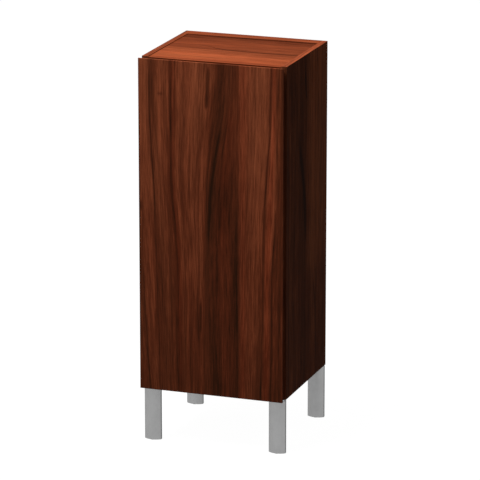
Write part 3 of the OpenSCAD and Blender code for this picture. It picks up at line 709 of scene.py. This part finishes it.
class CABINET_OT_stage(bpy.types.Operator):
    """Camera, lamps, room light and the pale floor"""

    bl_idname = "cabinet.stage"
    bl_label = "Stage"

    def execute(self, context):
        look = context.scene.cabinet_stage
        context.scene.view_settings.view_transform = "Standard"
        self.camera(context, look)
        for name, (place, target, size) in LAMPS.items():
            data = bpy.data.lights.new(name, "AREA")
            data.size, data.energy = size, getattr(look, name)
            self.aimed(context, bpy.data.objects.new(name, data), place, Vector(target) - Vector(place))
        self.room(context, look)
        self.floor(context, look)
        return {"FINISHED"}

    def aimed(self, context, thing, place, ahead):
        context.scene.collection.objects.link(thing)
        thing.location = place
        thing.rotation_euler = ahead.to_track_quat("-Z", "Y").to_euler()

    def camera(self, context, look):
        eye = bpy.data.objects.new("camera", bpy.data.cameras.new("camera"))
        level = math.cos(look.tilt)
        ahead = Vector((-math.sin(look.pan) * level, math.cos(look.pan) * level, -math.sin(look.tilt)))
        self.aimed(context, eye, look.camera_place, ahead)
        eye.data.lens, eye.data.sensor_width, eye.data.clip_end = look.lens, SENSOR, FARTHEST
        context.scene.camera = eye

    def room(self, context, look):
        """White where it shows, and even light from all round on the cabinet."""
        world = bpy.data.worlds.new("room")
        room = Tree(world)
        light, white = (room.out("Background", (1, 1, 1), strength) for strength in (look.sky, 1))
        room.node("OutputWorld", room.out("MixShader", room.seen(), light, white))
        context.scene.world = world

    def floor(self, context, look):
        """A floor that lights the cabinet from below and shows as white."""
        steps = np.linspace(-FLOOR_HALF, FLOOR_HALF, FLOOR_LINES)
        x, y = np.meshgrid(steps, steps, indexing="ij")
        points = np.stack([x.ravel(), y.ravel(), np.zeros(x.size)], axis=1)
        faces = grid_faces(np.arange(x.size).reshape(x.shape))
        mesh = bpy.data.meshes.new("floor")
        mesh.from_pydata(points.tolist(), [], faces.tolist())
        floor = bpy.data.objects.new("floor", mesh)
        context.scene.collection.objects.link(floor)
        mat = Recipe("floor")
        tone = tuple(look.floor_tone)
        mat.surface(Base_Color=mat.clouded(mat.noise(mat.places(), (3, 3, 3)), dimmed(tone, 0.97), tone))
        mat.surface(Roughness=0.9, Specular_IOR_Level=0.0)
        shown = mat.out("AddShader", mat.out("Emission", (1, 1, 1), FLOOR_GLOW),
                        mat.out("BsdfDiffuse", (FLOOR_GREY,) * 3))
        mixed = mat.out("MixShader", mat.seen(), mat.shader.outputs[0], shown)
        mat.put(mat.end.inputs["Surface"], mixed)
        mesh.materials.append(mat.material)


# On the back of the door, the figure is that of another piece of veneer: mirrored, moved down, with other
# fine grain and fainter lines, in millimetres and as a share. It takes over behind the lip.

BACK_DOWN, BACK_GRAIN, BACK_LINES = 40, 500, 0.6
BACK_FROM, BACK_OVER = 4, 8

# The door's upper edge face is painted lighter: painted light where the lamp above falls on it. The points of
# the door's front are so many millimetres apart across and up, and the first ones lie close to the edge.

TOP_EDGE_PAINTED_LIGHT = 0.3
STEP_ACROSS, STEP_UP, STEP_EDGE = 2, 8, 0.3


class CABINET_OT_door(bpy.types.Operator):
    """Door board with its lip, bevel and the figure of its veneer"""

    bl_idname = "cabinet.door"
    bl_label = "Door"

    def execute(self, context):
        sizes = context.scene.cabinet_boards
        low, high = (np.array(corner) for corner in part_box("door_panel"))
        lip, r = sizes.lip_depth, sizes.door_arris
        join = low[0] + (DOOR_JOIN + np.array((-JOIN_HALF, JOIN_HALF))) * MM
        across = lines_between(low[0] + r, high[0] - r, STEP_ACROSS * MM, STEP_EDGE * MM)
        across = np.sort(np.r_[across, join])
        up = lines_between(low[2] + r, high[2] - r, STEP_UP * MM, STEP_EDGE * MM)
        flat, faces = plate(across, up, self.edge(sizes, high[1] - low[1]))
        deep = flat[:, 2]
        points = np.stack([flat[:, 0], low[1] + deep, flat[:, 1]], axis=1)
        x, down = (points[:, 0] - low[0]) / MM, (high[2] - points[:, 2]) / MM
        front_place, front_look = door_figure(x, down)
        back_place, back_look = door_figure((high[0] - points[:, 0]) / MM, down + BACK_DOWN)
        back_look[:, 0] *= BACK_LINES
        share = np.clip((deep - lip - BACK_FROM * MM) / (BACK_OVER * MM), 0, 1)
        look = front_look * (1 - share[:, None]) + back_look * share[:, None]
        place = front_place * (1 - share) + (back_place + BACK_GRAIN) * share
        # Painted light on the door's upper edge face.
        look[(points[:, 2] > high[2] - 0.1 * MM) & (deep < lip * 1.1), 1] += TOP_EDGE_PAINTED_LIGHT
        attributes = {"grain": np.stack([place * MM, points[:, 2], deep * 0.5], axis=1), "figure": look}
        mat = Recipe("door veneer")
        grain, figure = (mat.node("Attribute", attribute_name=name).outputs["Vector"] for name in attributes)
        veneer(mat, context.scene.cabinet_veneers.tones("door"), grain, 0.62, figure=figure)
        build("door_board", points, faces, "door", mat.material, ("door_panel",), attributes)
        return {"FINISHED"}

    def edge(self, sizes, thick):
        """The door's edge as (out, deep): the front arris, the square lip, the bevel that runs in towards
        the back, and the back arris. Points close to each corner keep the flats between them flat."""
        lip, slant, r, s = sizes.lip_depth, sizes.bevel_in, sizes.door_arris, sizes.back_arris
        run = np.array([-slant, thick - lip]) / math.hypot(slant, thick - lip)
        corner, back = np.array([r, lip]), np.array([r - slant, thick])
        return np.vstack([
            quarter(r, 5)[1:],
            (r, 1.4 * r),
            corner - (0, 0.5 * MM),
            corner - (0.03 * MM, 0.12 * MM),
            corner + run * 0.3 * MM,
            corner + run * MM,
            (corner + back) / 2,
            back - run * 1.2 * s,
            back - run * 0.8 * s - (0.04 * MM, 0),
            back - (0.35 * s, 0.12 * s),
            back - (s, 0),
        ])


# Figure of the other boards. Each line has its half width, the points that its middle passes through,
# and its strength along the way; all are shares of the board's face, 0 to 1. Zones are lightness across.

SIDE_LINES = (
    (0.012, ((0, 0.43), (0.07, 0.45), (0.12, 0.475), (0.14, 0.5), (1, 0.5)),
     ((0, 0.5), (0.1, 0.8), (0.13, 0.6), (0.15, 0), (1, 0))),
    (0.03, ((0, 0.2), (0.25, 0.24), (0.5, 0.3), (1, 0.3)),
     ((0, 0.2), (0.1, 0.45), (0.2, 0.2), (0.3, 0), (1, 0))),
    (0.042, ((0, 0.28), (0.24, 0.31), (0.34, 0.385), (0.42, 0.44), (0.58, 0.47), (1, 0.5)),
     ((0, 0), (0.18, 0.1), (0.26, 0.5), (0.42, 0.75), (0.55, 0.45), (0.62, 0), (1, 0))),
    (0.016, ((0, 0.75), (0.25, 0.77), (0.5, 0.76), (1, 0.72)),
     ((0, 0.35), (0.3, 0.3), (0.5, 0.1), (0.7, 0.4), (1, 0.3))),
    (0.02, ((0, 0.66), (0.7, 0.68), (0.78, 0.71), (1, 0.74)),
     ((0, 0), (0.68, 0), (0.74, 0.6), (0.8, 0.3), (1, 0.2))),
    (0.012, ((0, 0.05), (0.5, 0.05), (1, 0.07)), ((0, 0.1), (0.35, 0.4), (0.6, 0.3), (0.85, 0.6), (1, 0.6))),
)
SIDE_ZONES = ((0, 0.4), (0.25, 0.42), (0.4, 0.41), (0.5, 0.55), (0.6, 0.74), (0.85, 0.71), (1, 0.62))
SIDE_LOW_ZONES = ((0, 0.48), (0.4, 0.5), (0.55, 0.28), (0.75, 0.27), (1, 0.34))
SIDE_LOW_SHARE = ((0, 0), (0.6, 0), (0.72, 1), (1, 1))
TOP_LINES = (
    (0.012, ((0, 0.6), (0.29, 0.589), (0.375, 0.529), (0.5, 0.498), (0.65, 0.481), (0.88, 0.481), (1, 0.48)),
     ((0, 0.3), (0.15, 0.2), (0.3, 0.5), (0.5, 0.8), (0.8, 0.7), (1, 0.8))),
    (0.02, ((0, 0.78), (0.5, 0.8), (1, 0.77)), ((0, 0.4), (0.4, 0.4), (0.7, 0.2), (1, 0.3))),
    (0.012, ((0, 0.99), (1, 0.99)), ((0, 0.3), (0.6, 0.4), (1, 0.4))),
    (0.012, ((0, 0.18), (0.5, 0.15), (1, 0.16)), ((0, 0.1), (0.4, 0.35), (1, 0.2))),
)
TOP_ZONES = ((0, 0.62), (0.12, 0.74), (0.3, 0.72), (0.42, 0.58), (0.5, 0.44), (0.6, 0.48), (0.75, 0.47),
             (0.85, 0.4), (1, 0.34))
STRIP_ZONES = ((0, 0.4), (0.1, 0.56), (0.7, 0.57), (1, 0.66))
BOARD_LINE_DARK = -0.5

# How a board's edges differ from its face, as shares of red, green and blue. The side panels' forward edges
# are painted lighter, painted light in the shade of the door; the edges of the top and rear strip are darker,
# partly their banding and partly painted shade. The rim is the part of a side panel that stands above the
# top:
# its upper edge, and its inner side down to these depths in millimetres, between which it fades. The rim is
# painted lighter, more on the right panel than on the left: painted light, also on its inner side where the
# recess shades it.

RIM_PAINTED_LIGHT = {"right": (1.75, 1.8, 1.9), "left": (1.25, 1.3, 1.35)}
RIM_LOW, RIM_HIGH = 2.3, 2.1
SIDE_EDGE_PAINTED_LIGHT, TOP_BAND_AND_SHADE, STRIP_BAND_AND_SHADE = (1.7, 1.7, 1.7), (0.36, 0.33, 0.32), (0.62, 0.6, 0.6)


def lined(lines, zones, across, along, lift=0.0):
    """Listed dark lines and pale and dark zones for a board that keeps its CAD mesh."""

    def add(mat, level, frays):
        level = mat.maths("ADD", level, mat.centred(mat.curve(across, zones)))
        level = mat.maths("ADD", level, lift)
        fray = mat.times(mat.centred(frays), FRAY)
        for half, middle, strength in lines:
            off = mat.maths("ABSOLUTE", mat.maths("SUBTRACT", across, mat.curve(along, middle)))
            near = mat.times(mat.ranged(off, half * 1.6, 0.0), mat.curve(along, strength))
            inked = mat.ranged(mat.maths("ADD", near, mat.times(fray, near)), 0.05, 0.9)
            level = mat.added(inked, BOARD_LINE_DARK, level)
        return level

    return add


class CABINET_OT_carcass(bpy.types.Operator):
    """Veneer of the top, sides, bottom, rails and back"""

    bl_idname = "cabinet.carcass"
    bl_label = "Carcass boards"

    def execute(self, context):
        tones = context.scene.cabinet_veneers.tones
        arris = context.scene.cabinet_boards.board_arris
        for hand, seed in (("right", 4.0), ("left", 9.0)):
            self.side("side_panel_" + hand, tones("side"), tones("top"), RIM_PAINTED_LIGHT[hand], seed, arris)
        self.top("top veneer", "top_panel", tones("top"), 2.0, arris, TOP_LINES, TOP_ZONES, TOP_BAND_AND_SHADE)
        self.top("rear strip veneer", "rear_top_strip", tones("top"), 6.0, arris, (), STRIP_ZONES, STRIP_BAND_AND_SHADE)
        for name, seed in (("bottom_panel", 11.0), ("wall_rail", 13.0), ("lower_rear_rail", 14.0)):
            mat = Recipe(name.replace("_", " ") + " veneer")
            x, y, z = mat.parts(mat.places())
            veneer(mat, tones("inner"), mat.joined(y, x, z), 0.7, seed, arris)
            dress(mat.material, name)
        mat = Recipe("back board decor")
        x, y, z = mat.parts(mat.places())
        veneer(mat, tones("inner"), mat.joined(x, z, y), 0.55, 17.0, gloss=0.5)
        dress(mat.material, "back_panel")
        return {"FINISHED"}

    def side(self, name, tones, top_tones, rim_painted_light, seed, arris):
        """Grain runs up the panel, and front to back along its upper edge, which takes the top's tones. The
        rim and the forward edges are painted lighter: painted light.
        """
        low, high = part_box(name)
        mat = Recipe(name.replace("_", " ") + " veneer")
        x, y, z = mat.parts(mat.places())
        upper_edge = mat.looks(2)
        grain = mat.out("Mix", upper_edge, mat.joined(y, z, x), mat.joined(x, y, z), data_type="VECTOR")
        across = mat.ranged(y, low[1], high[1], "LINEAR")
        across = mat.added(upper_edge, 0.1, mat.times(across, mat.maths("SUBTRACT", 1.0, upper_edge)))
        along = mat.ranged(z, high[2], low[2], "LINEAR")
        lower = mat.times(mat.centred(mat.curve(across, SIDE_LOW_ZONES)), mat.curve(along, SIDE_LOW_SHARE))
        streaks = lined(SIDE_LINES, SIDE_ZONES, across, along, lower)
        shade = veneer(mat, tones, grain, 0.7, seed, arris, streaks=streaks)
        # The rim's tone: the top's tones, themselves painted lighter, times the rim's painted light.
        pale = mat.tinted(shade, tuple(r * t / s for r, t, s in zip(rim_painted_light, top_tones[1], tones[1])))
        # Forward-facing edges painted lighter: painted light where the door shades them.
        shade = mat.mixed(mat.looks(1, -1), shade, mat.tinted(shade, SIDE_EDGE_PAINTED_LIGHT))
        inwards = -math.copysign(1, low[0] + high[0])
        upper = mat.ranged(z, high[2] - RIM_LOW * MM, high[2] - RIM_HIGH * MM)
        rim = mat.maths("MAXIMUM", upper_edge, mat.times(upper, mat.looks(0, inwards)))
        mat.surface(Base_Color=mat.mixed(rim, shade, pale))
        dress(mat.material, name)

    def top(self, name, node, tones, seed, arris, lines, zones, band):
        """Grain runs from left to right; the edges are darker than the upper face, partly their banding and
        partly painted shade.
        """
        low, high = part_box(node)
        mat = Recipe(name)
        x, y, z = mat.parts(mat.places())
        across, along = mat.ranged(y, low[1], high[1], "LINEAR"), mat.ranged(x, low[0], high[0], "LINEAR")
        streaks = lined(lines, zones, across, along)
        shade = veneer(mat, tones, mat.joined(y, x, z), 0.6, seed, arris, streaks=streaks)
        # Faces that don't look up are darkened: their banding and painted shade.
        mat.surface(Base_Color=mat.mixed(mat.looks(2), mat.tinted(shade, band), shade))
        dress(mat.material, node)


CORNER_STEPS, FRONT_STEPS = 6, 40
LEG_END_ARRIS, LEG_END = 0.25, 8


def leg_outline(half, side, bow, corner):
    """Outline of the leg profile with its outward normals: a straight back, two flat sides and a bowed
    front, an arc through the front edges of the sides; every corner is a small arc tangent to both."""
    radius = (half**2 + bow**2) / (2 * bow)
    hub = radius - bow
    x = half - corner
    y = hub - math.sqrt((radius - corner) ** 2 - x**2)
    lean = math.degrees(math.atan2(y - hub, x))
    right = [arc((x, side - corner), corner, 90, 0, CORNER_STEPS), arc((x, y), corner, 0, lean, CORNER_STEPS)]
    front = arc((0, hub), radius, lean, -180 - lean, FRONT_STEPS)[1:-1]
    left = [np.flipud(a) * (-1, 1) for a in reversed(right)]
    thirds = np.linspace(0, 1, 4)[1:-1, None]

    def wall(first, second):
        return first[-1] + (second[0] - first[-1]) * thirds

    outline = np.vstack([right[0], wall(*right), right[1], front, left[0], wall(*left), left[1],
                         wall(left[1], right[0])])
    step = np.roll(outline, -1, 0) - np.roll(outline, 1, 0)
    normal = np.stack([-step[:, 1], step[:, 0]], axis=1)
    return outline, normal / np.linalg.norm(normal, axis=1)[:, None]


class CABINET_OT_legs(bpy.types.Operator):
    """Four legs: a hollow metal profile with a bowed front"""

    bl_idname = "cabinet.legs"
    bl_label = "Legs"

    def execute(self, context):
        metals = context.scene.cabinet_metals
        metal = satin_metal("leg metal", tuple(metals.leg_grey), 0.42, (700, 700, 9),
                            blotch=0.02, patch=25, shaded_flank=0.3)
        for name in LEG_NAMES:
            low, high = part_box("leg_" + name)
            outline, normal = leg_outline((high[0] - low[0]) / 2, metals.leg_side, metals.leg_bow,
                                          metals.leg_corner)
            inset, rise = self.section(low[2], high[2], metals.leg_wall).T
            flat = outline[None] - inset[:, None, None] * normal[None]
            heights = np.broadcast_to(rise[:, None, None], (*flat.shape[:2], 1))
            middle = ((low[0] + high[0]) / 2, low[1] + metals.leg_bow, 0)
            points = np.concatenate([flat, heights], axis=2).reshape(-1, 3) + middle
            index = np.arange(len(points)).reshape(flat.shape[:2])
            faces = grid_faces(index, closed_rows=True, closed_columns=True)
            build("leg_profile_" + name, points, faces, "cabinet", metal, ("leg_" + name,))
        return {"FINISHED"}

    def section(self, low, high, wall):
        """Section of the wall as (inset, height): up the outside, over the end, down inside and back."""
        r, end = LEG_END_ARRIS * MM, LEG_END * MM
        rise = np.r_[low + r, low + 3 * r, np.linspace(low + end, high - end, 12), high - 3 * r, high - r]
        out, deep = quarter(r, 3).T
        upper = np.stack([deep, high - r + out], axis=1)[1:]
        lower = np.stack([r - out, low + deep], axis=1)[:-1]
        inner = [(wall - r, high), (wall, high - r), (wall, low + r), (wall - r, low)]
        return np.vstack([np.stack([np.zeros_like(rise), rise], axis=1), upper, inner, lower])


# Outline of a foot's pad, from below outwards and up to the stud, as shares of its radius and thickness.

PAD = ((0.3, 0.14), (0.72, 0.14), (0.76, 0), (0.93, 0), (0.985, 0.07), (1, 0.17), (1, 0.8), (0.975, 0.93),
       (0.93, 1), (0.55, 1))
RIB_FROM, RIB_DEPTH = 0.95, 0.022

# The stud and its thread, in millimetres, with the thread's depth as a share of the radius.

STUD, THREAD_PITCH, THREAD_TOP, THREAD_DEPTH = 3.0, 1.0, 17.0, 0.05
ROW_STEP = 0.125


class CABINET_OT_feet(bpy.types.Operator):
    """Screw-in feet with ribbed pads and threads, and the plugs that hold them"""

    bl_idname = "cabinet.feet"
    bl_label = "Feet and plugs"

    def execute(self, context):
        metals = context.scene.cabinet_metals
        plastic = moulded("foot plastic", tint(30, 30, 31), 0.5)
        thick, ribs = metals.foot_pad, metals.foot_ribs
        for name in LEG_NAMES:
            low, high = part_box("foot_" + name)
            reach = (high[0] - low[0]) / 2
            rows = np.arange(thick / MM + 0.05, THREAD_TOP, ROW_STEP)
            shaft = np.stack([np.full(len(rows), STUD), rows], axis=1)
            top = high[2] / MM
            tip = [(STUD, THREAD_TOP), (STUD, top - 0.8), (STUD - 0.8, top), (0.3, top)]
            pad = np.array(PAD) * (reach, thick)
            profile = np.vstack([(0.02 * MM, pad[0, 1]), pad, shaft * MM, np.array(tip) * MM])
            start = 1 + len(pad)

            def ripple(angle, row):
                """Ribs: a cosine of the angle on the pad's rim. Thread: a cosine of the angle less the
                turns climbed, on the rows of the stud."""
                rim = profile[:, :1] > RIB_FROM * reach
                thread = (row >= start) & (row < start + len(rows))
                climb = 2 * np.pi * profile[:, 1:] / (THREAD_PITCH * MM)
                ribbed = RIB_DEPTH * rim * (1 + np.cos(ribs * angle))
                return 1 - ribbed - THREAD_DEPTH * thread * (1 + np.cos(angle - climb))

            points, faces = turned(profile, 40, ripple)
            points += ((low[0] + high[0]) / 2, (low[1] + high[1]) / 2, 0)
            build("foot_pad_" + name, points, faces, name + "_foot", plastic,
                  ("foot_" + name,))
        dress(moulded("plug plastic", tint(24, 24, 25), 0.4), *("leg_plug_" + n for n in LEG_NAMES))
        return {"FINISHED"}


class CABINET_OT_shelves(bpy.types.Operator):
    """Glass shelves with ground edges, their supports and pads"""

    bl_idname = "cabinet.shelves"
    bl_label = "Shelves"

    def execute(self, context):
        metals, r = context.scene.cabinet_metals, context.scene.cabinet_boards.glass_arris
        glass = float_glass("shelf glass")
        for name in ("lower", "upper"):
            low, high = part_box("shelf_" + name)
            across, back = (lines_between(low[k] + r, high[k] - r, 30 * MM, MM) for k in (0, 1))
            points, faces = plate(across, back, rounded_edge(r, high[2] - low[2], 6))
            points += (0, 0, low[2])
            build("glass_" + name, points, faces, "cabinet", glass, ("shelf_" + name,))
        dress(satin_metal("support nickel", tuple(metals.nickel), 0.28, (500, 500, 500), 0.3),
              "shelf_supports_lower", "shelf_supports_upper")
        dress(moulded("clear plastic", tint(224, 226, 222), 0.3, grain=900, clear=0.7),
              "shelf_pads", "door_bumpers")
        return {"FINISHED"}


class CABINET_OT_fittings(bpy.types.Operator):
    """Hinges, catches, plates, cams and dowels"""

    bl_idname = "cabinet.fittings"
    bl_label = "Fittings"

    def execute(self, context):
        metals = context.scene.cabinet_metals
        nickel, zinc, casting = tuple(metals.nickel), tuple(metals.zinc), tuple(metals.casting)
        levels = ("lower", "middle", "upper")
        leaves = [f"hinge_{leaf}_leaf_{level}" for leaf in ("frame", "door") for level in levels]
        dress(satin_metal("hinge nickel", nickel, 0.32, (14, 900, 900), 0.25), *leaves)
        dress(satin_metal("hinge pin steel", tint(150, 150, 150), 0.3, (600, 600, 20), 0.4),
              *("hinge_pin_" + level for level in levels))
        dress(satin_metal("plate zinc", zinc, 0.38, (300, 300, 300), 0.4, blotch=0.08, patch=220),
              *("leg_plate_" + name for name in LEG_NAMES))
        dress(satin_metal("strike zinc", zinc, 0.32, (900, 14, 14), 0.3, patch=300),
              "strike_plates", "catch_poles")
        dress(satin_metal("bolt zinc", zinc, 0.35, (600, 600, 600), 0.3), "cam_bolts")
        dress(satin_metal("cam casting", casting, 0.5, (450, 450, 450), 0.3, blotch=0.08, patch=400),
              "cam_locks")
        dress(moulded("catch plastic", tint(222, 219, 210), 0.42),
              "catch_housing_lower", "catch_housing_upper")
        dress(moulded("magnet ferrite", tint(38, 38, 40), 0.6, grain=2200), "catch_magnets")
        dress(beech_wood("dowel beech"), "panel_dowels")
        return {"FINISHED"}


# Rings of a screw's head inside its rim, and the width, length and depth of the cross in it, as shares of
# the head's radius.

HEAD_RINGS = (0.04, 0.12, 0.2, 0.3, 0.4, 0.5, 0.58, 0.66, 0.76, 0.88, 0.96)
CROSS_WIDE, CROSS_LONG, CROSS_DEEP = 0.16, 0.62, 0.42


def cross_screw(shank, head, length, steps=32):
    """A countersunk screw with a cross recess, its head level with z = 0 and its shank down -Z.
    Head: the depth at a point is the larger of two slots crossing at the middle, each falling away
    over its rounded sides and towards its ends."""
    angle = np.linspace(0, 2 * np.pi, steps, endpoint=False) + np.pi / steps
    round_x, round_y = np.cos(angle), np.sin(angle)
    radii = np.array(HEAD_RINGS)[:, None] * head
    x, y = radii * round_x, radii * round_y

    def slot(u, v):
        across = np.clip(1 - (np.abs(v) / (CROSS_WIDE * head)) ** 3, 0, 1)
        along = np.clip(1 - (np.abs(u) / (CROSS_LONG * head)) ** 4, 0, 1)
        return across * along

    depth = CROSS_DEEP * head * np.maximum(slot(x, y), slot(y, x))
    upper = np.stack([x, y, -depth], axis=-1)
    rest = np.array([(head, -0.06 * head), (head, -0.1 * head), (shank, shank - 1.06 * head),
                     (shank, -0.9 * length), (0.02 * head, -length)])
    radii = rest[:, :1]
    lower = np.stack([radii * round_x, radii * round_y, rest[:, 1:] * np.ones(steps)], axis=-1)
    return poled(np.concatenate([upper, lower]))


def turn_to(direction, twist):
    """The 3 by 3 turn that carries -Z to a direction, after a twist about Z."""
    cos, sin = math.cos(twist), math.sin(twist)
    tilt = Vector((0, 0, -1)).rotation_difference(Vector(direction)).to_matrix()
    return np.array(tilt) @ np.array([[cos, -sin, 0], [sin, cos, 0], [0, 0, 1]])


# Heights of the hinges and catches and the spacing of their screws; sizes of the screws and bolts as shank
# radius, head radius and length; and places of the screws in the leg plates. All in millimetres.

HINGE_SCREWS = [height + step for height in (250, 600, 950) for step in (-20, 0, 20)]
CATCH_HEIGHTS = (300, 900)
CATCH_SCREWS = [height + step for height in CATCH_HEIGHTS for step in (-26, 26)]
WOOD_SCREW, LEG_BOLT = (1.5, 2.9, 14), (2.0, 3.8, 20)
PLATE_MIDDLE = 164
PLATE_SCREWS = ((-11, 52), (11, 52), (0, 30))
BOLT_SPREAD, BOLT_BACK = 13, 2.8
TWIST_FIRST, TWIST_STEP = 0.4, 1.1
OUTSIDE = 0.05


class CABINET_OT_screws(bpy.types.Operator):
    """Every countersunk screw and bolt, with a cross recess in its head"""

    bl_idname = "cabinet.screws"
    bl_label = "Screws"

    def execute(self, context):
        metals = context.scene.cabinet_metals
        zinc = satin_metal("screw zinc", tuple(metals.zinc), 0.3, (700, 700, 700), patch=500)
        for name, body, rows, direction in (
            ("hinge_frame_screws", "cabinet", HINGE_SCREWS, (0, 1, 0)),
            ("hinge_door_screws", "door", HINGE_SCREWS, (0, -1, 0)),
            ("catch_screws", "cabinet", CATCH_SCREWS, (1, 0, 0)),
            ("strike_screws", "door", CATCH_HEIGHTS, (0, -1, 0)),
        ):
            low, high = (np.array(c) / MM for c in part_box(name))
            way = np.array(direction)
            head = np.where(way == 0, (low + high) / 2, np.where(way > 0, low, high))
            self.drive(name, body, [(head[0], head[1], z) for z in rows], direction, WOOD_SCREW, zinc)
        plate_places, bolt_places = [], []
        for leg in LEG_NAMES:
            low, high = (np.array(c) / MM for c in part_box("leg_" + leg))
            plate_low, plate_high = (np.array(c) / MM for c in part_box("leg_plate_" + leg))
            inward = 1 if leg.startswith("front") else -1
            middle, back = (low[0] + high[0]) / 2, low[1] + metals.leg_bow / MM
            plate_middle = math.copysign(PLATE_MIDDLE, middle)
            plate_places += [(plate_middle + x, back + inward * y, plate_low[2]) for x, y in PLATE_SCREWS]
            bolt_places += [(middle + x, back + BOLT_BACK, plate_high[2])
                            for x in (-BOLT_SPREAD, BOLT_SPREAD)]
        self.drive("leg_plate_screws", "cabinet", plate_places, (0, 0, 1), WOOD_SCREW, zinc)
        self.drive("leg_bolts", "cabinet", bolt_places, (0, 0, -1), LEG_BOLT, zinc)
        return {"FINISHED"}

    def drive(self, name, body, places, direction, sizes, material):
        """Sets a screw at each place, all heading one way, each with its cross turned differently."""
        low, high = (np.array(c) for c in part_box(name))
        shank, head, long = (size * MM for size in sizes)
        turns = [turn_to(direction, TWIST_FIRST + TWIST_STEP * k) for k in range(len(places))]
        points, faces = copies(*cross_screw(shank, head, long), np.array(places) * MM, np.stack(turns))
        over = max((low - points.min(0)).max(), (points.max(0) - high).max())
        if over > OUTSIDE * MM:
            raise RuntimeError(f"{name} stands {over / MM:.2f} mm outside its CAD solids")
        set_name = name.replace("screws", "screw_set").replace("bolts", "bolt_set")
        build(set_name, points, faces, body, material, (name,))


OPERATORS = (CABINET_OT_stage, CABINET_OT_carcass, CABINET_OT_door, CABINET_OT_legs, CABINET_OT_feet,
             CABINET_OT_shelves, CABINET_OT_fittings, CABINET_OT_screws)
GROUPS = {"cabinet_boards": BoardSettings, "cabinet_veneers": VeneerSettings, "cabinet_metals": MetalSettings,
          "cabinet_stage": StageSettings}


class CABINET_PT_parts(bpy.types.Panel):
    """Lists the cabinet's parts and their settings"""

    bl_idname = "CABINET_PT_parts"
    bl_label = "Tall bathroom cabinet"
    bl_space_type = "VIEW_3D"
    bl_region_type = "UI"
    bl_category = "Cabinet"

    def draw(self, context):
        for operator in OPERATORS:
            self.layout.operator(operator.bl_idname)
        for group in (getattr(context.scene, name) for name in GROUPS):
            box = self.layout.box()
            for name in group.bl_rna.properties.keys():
                if name not in ("rna_type", "name"):
                    box.prop(group, name)


def register():
    for name, group in GROUPS.items():
        bpy.utils.register_class(group)
        setattr(bpy.types.Scene, name, PointerProperty(type=group))
    for item in (*OPERATORS, CABINET_PT_parts):
        bpy.utils.register_class(item)


def unregister():
    for item in reversed((*OPERATORS, CABINET_PT_parts)):
        bpy.utils.unregister_class(item)
    for name, group in reversed(GROUPS.items()):
        delattr(bpy.types.Scene, name)
        bpy.utils.unregister_class(group)


def main():
    """Dresses the frame."""
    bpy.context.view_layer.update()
    register()
    for operator in OPERATORS:
        getattr(bpy.ops.cabinet, operator.bl_idname.split(".")[1])()


if __name__ == "__main__":
    main()
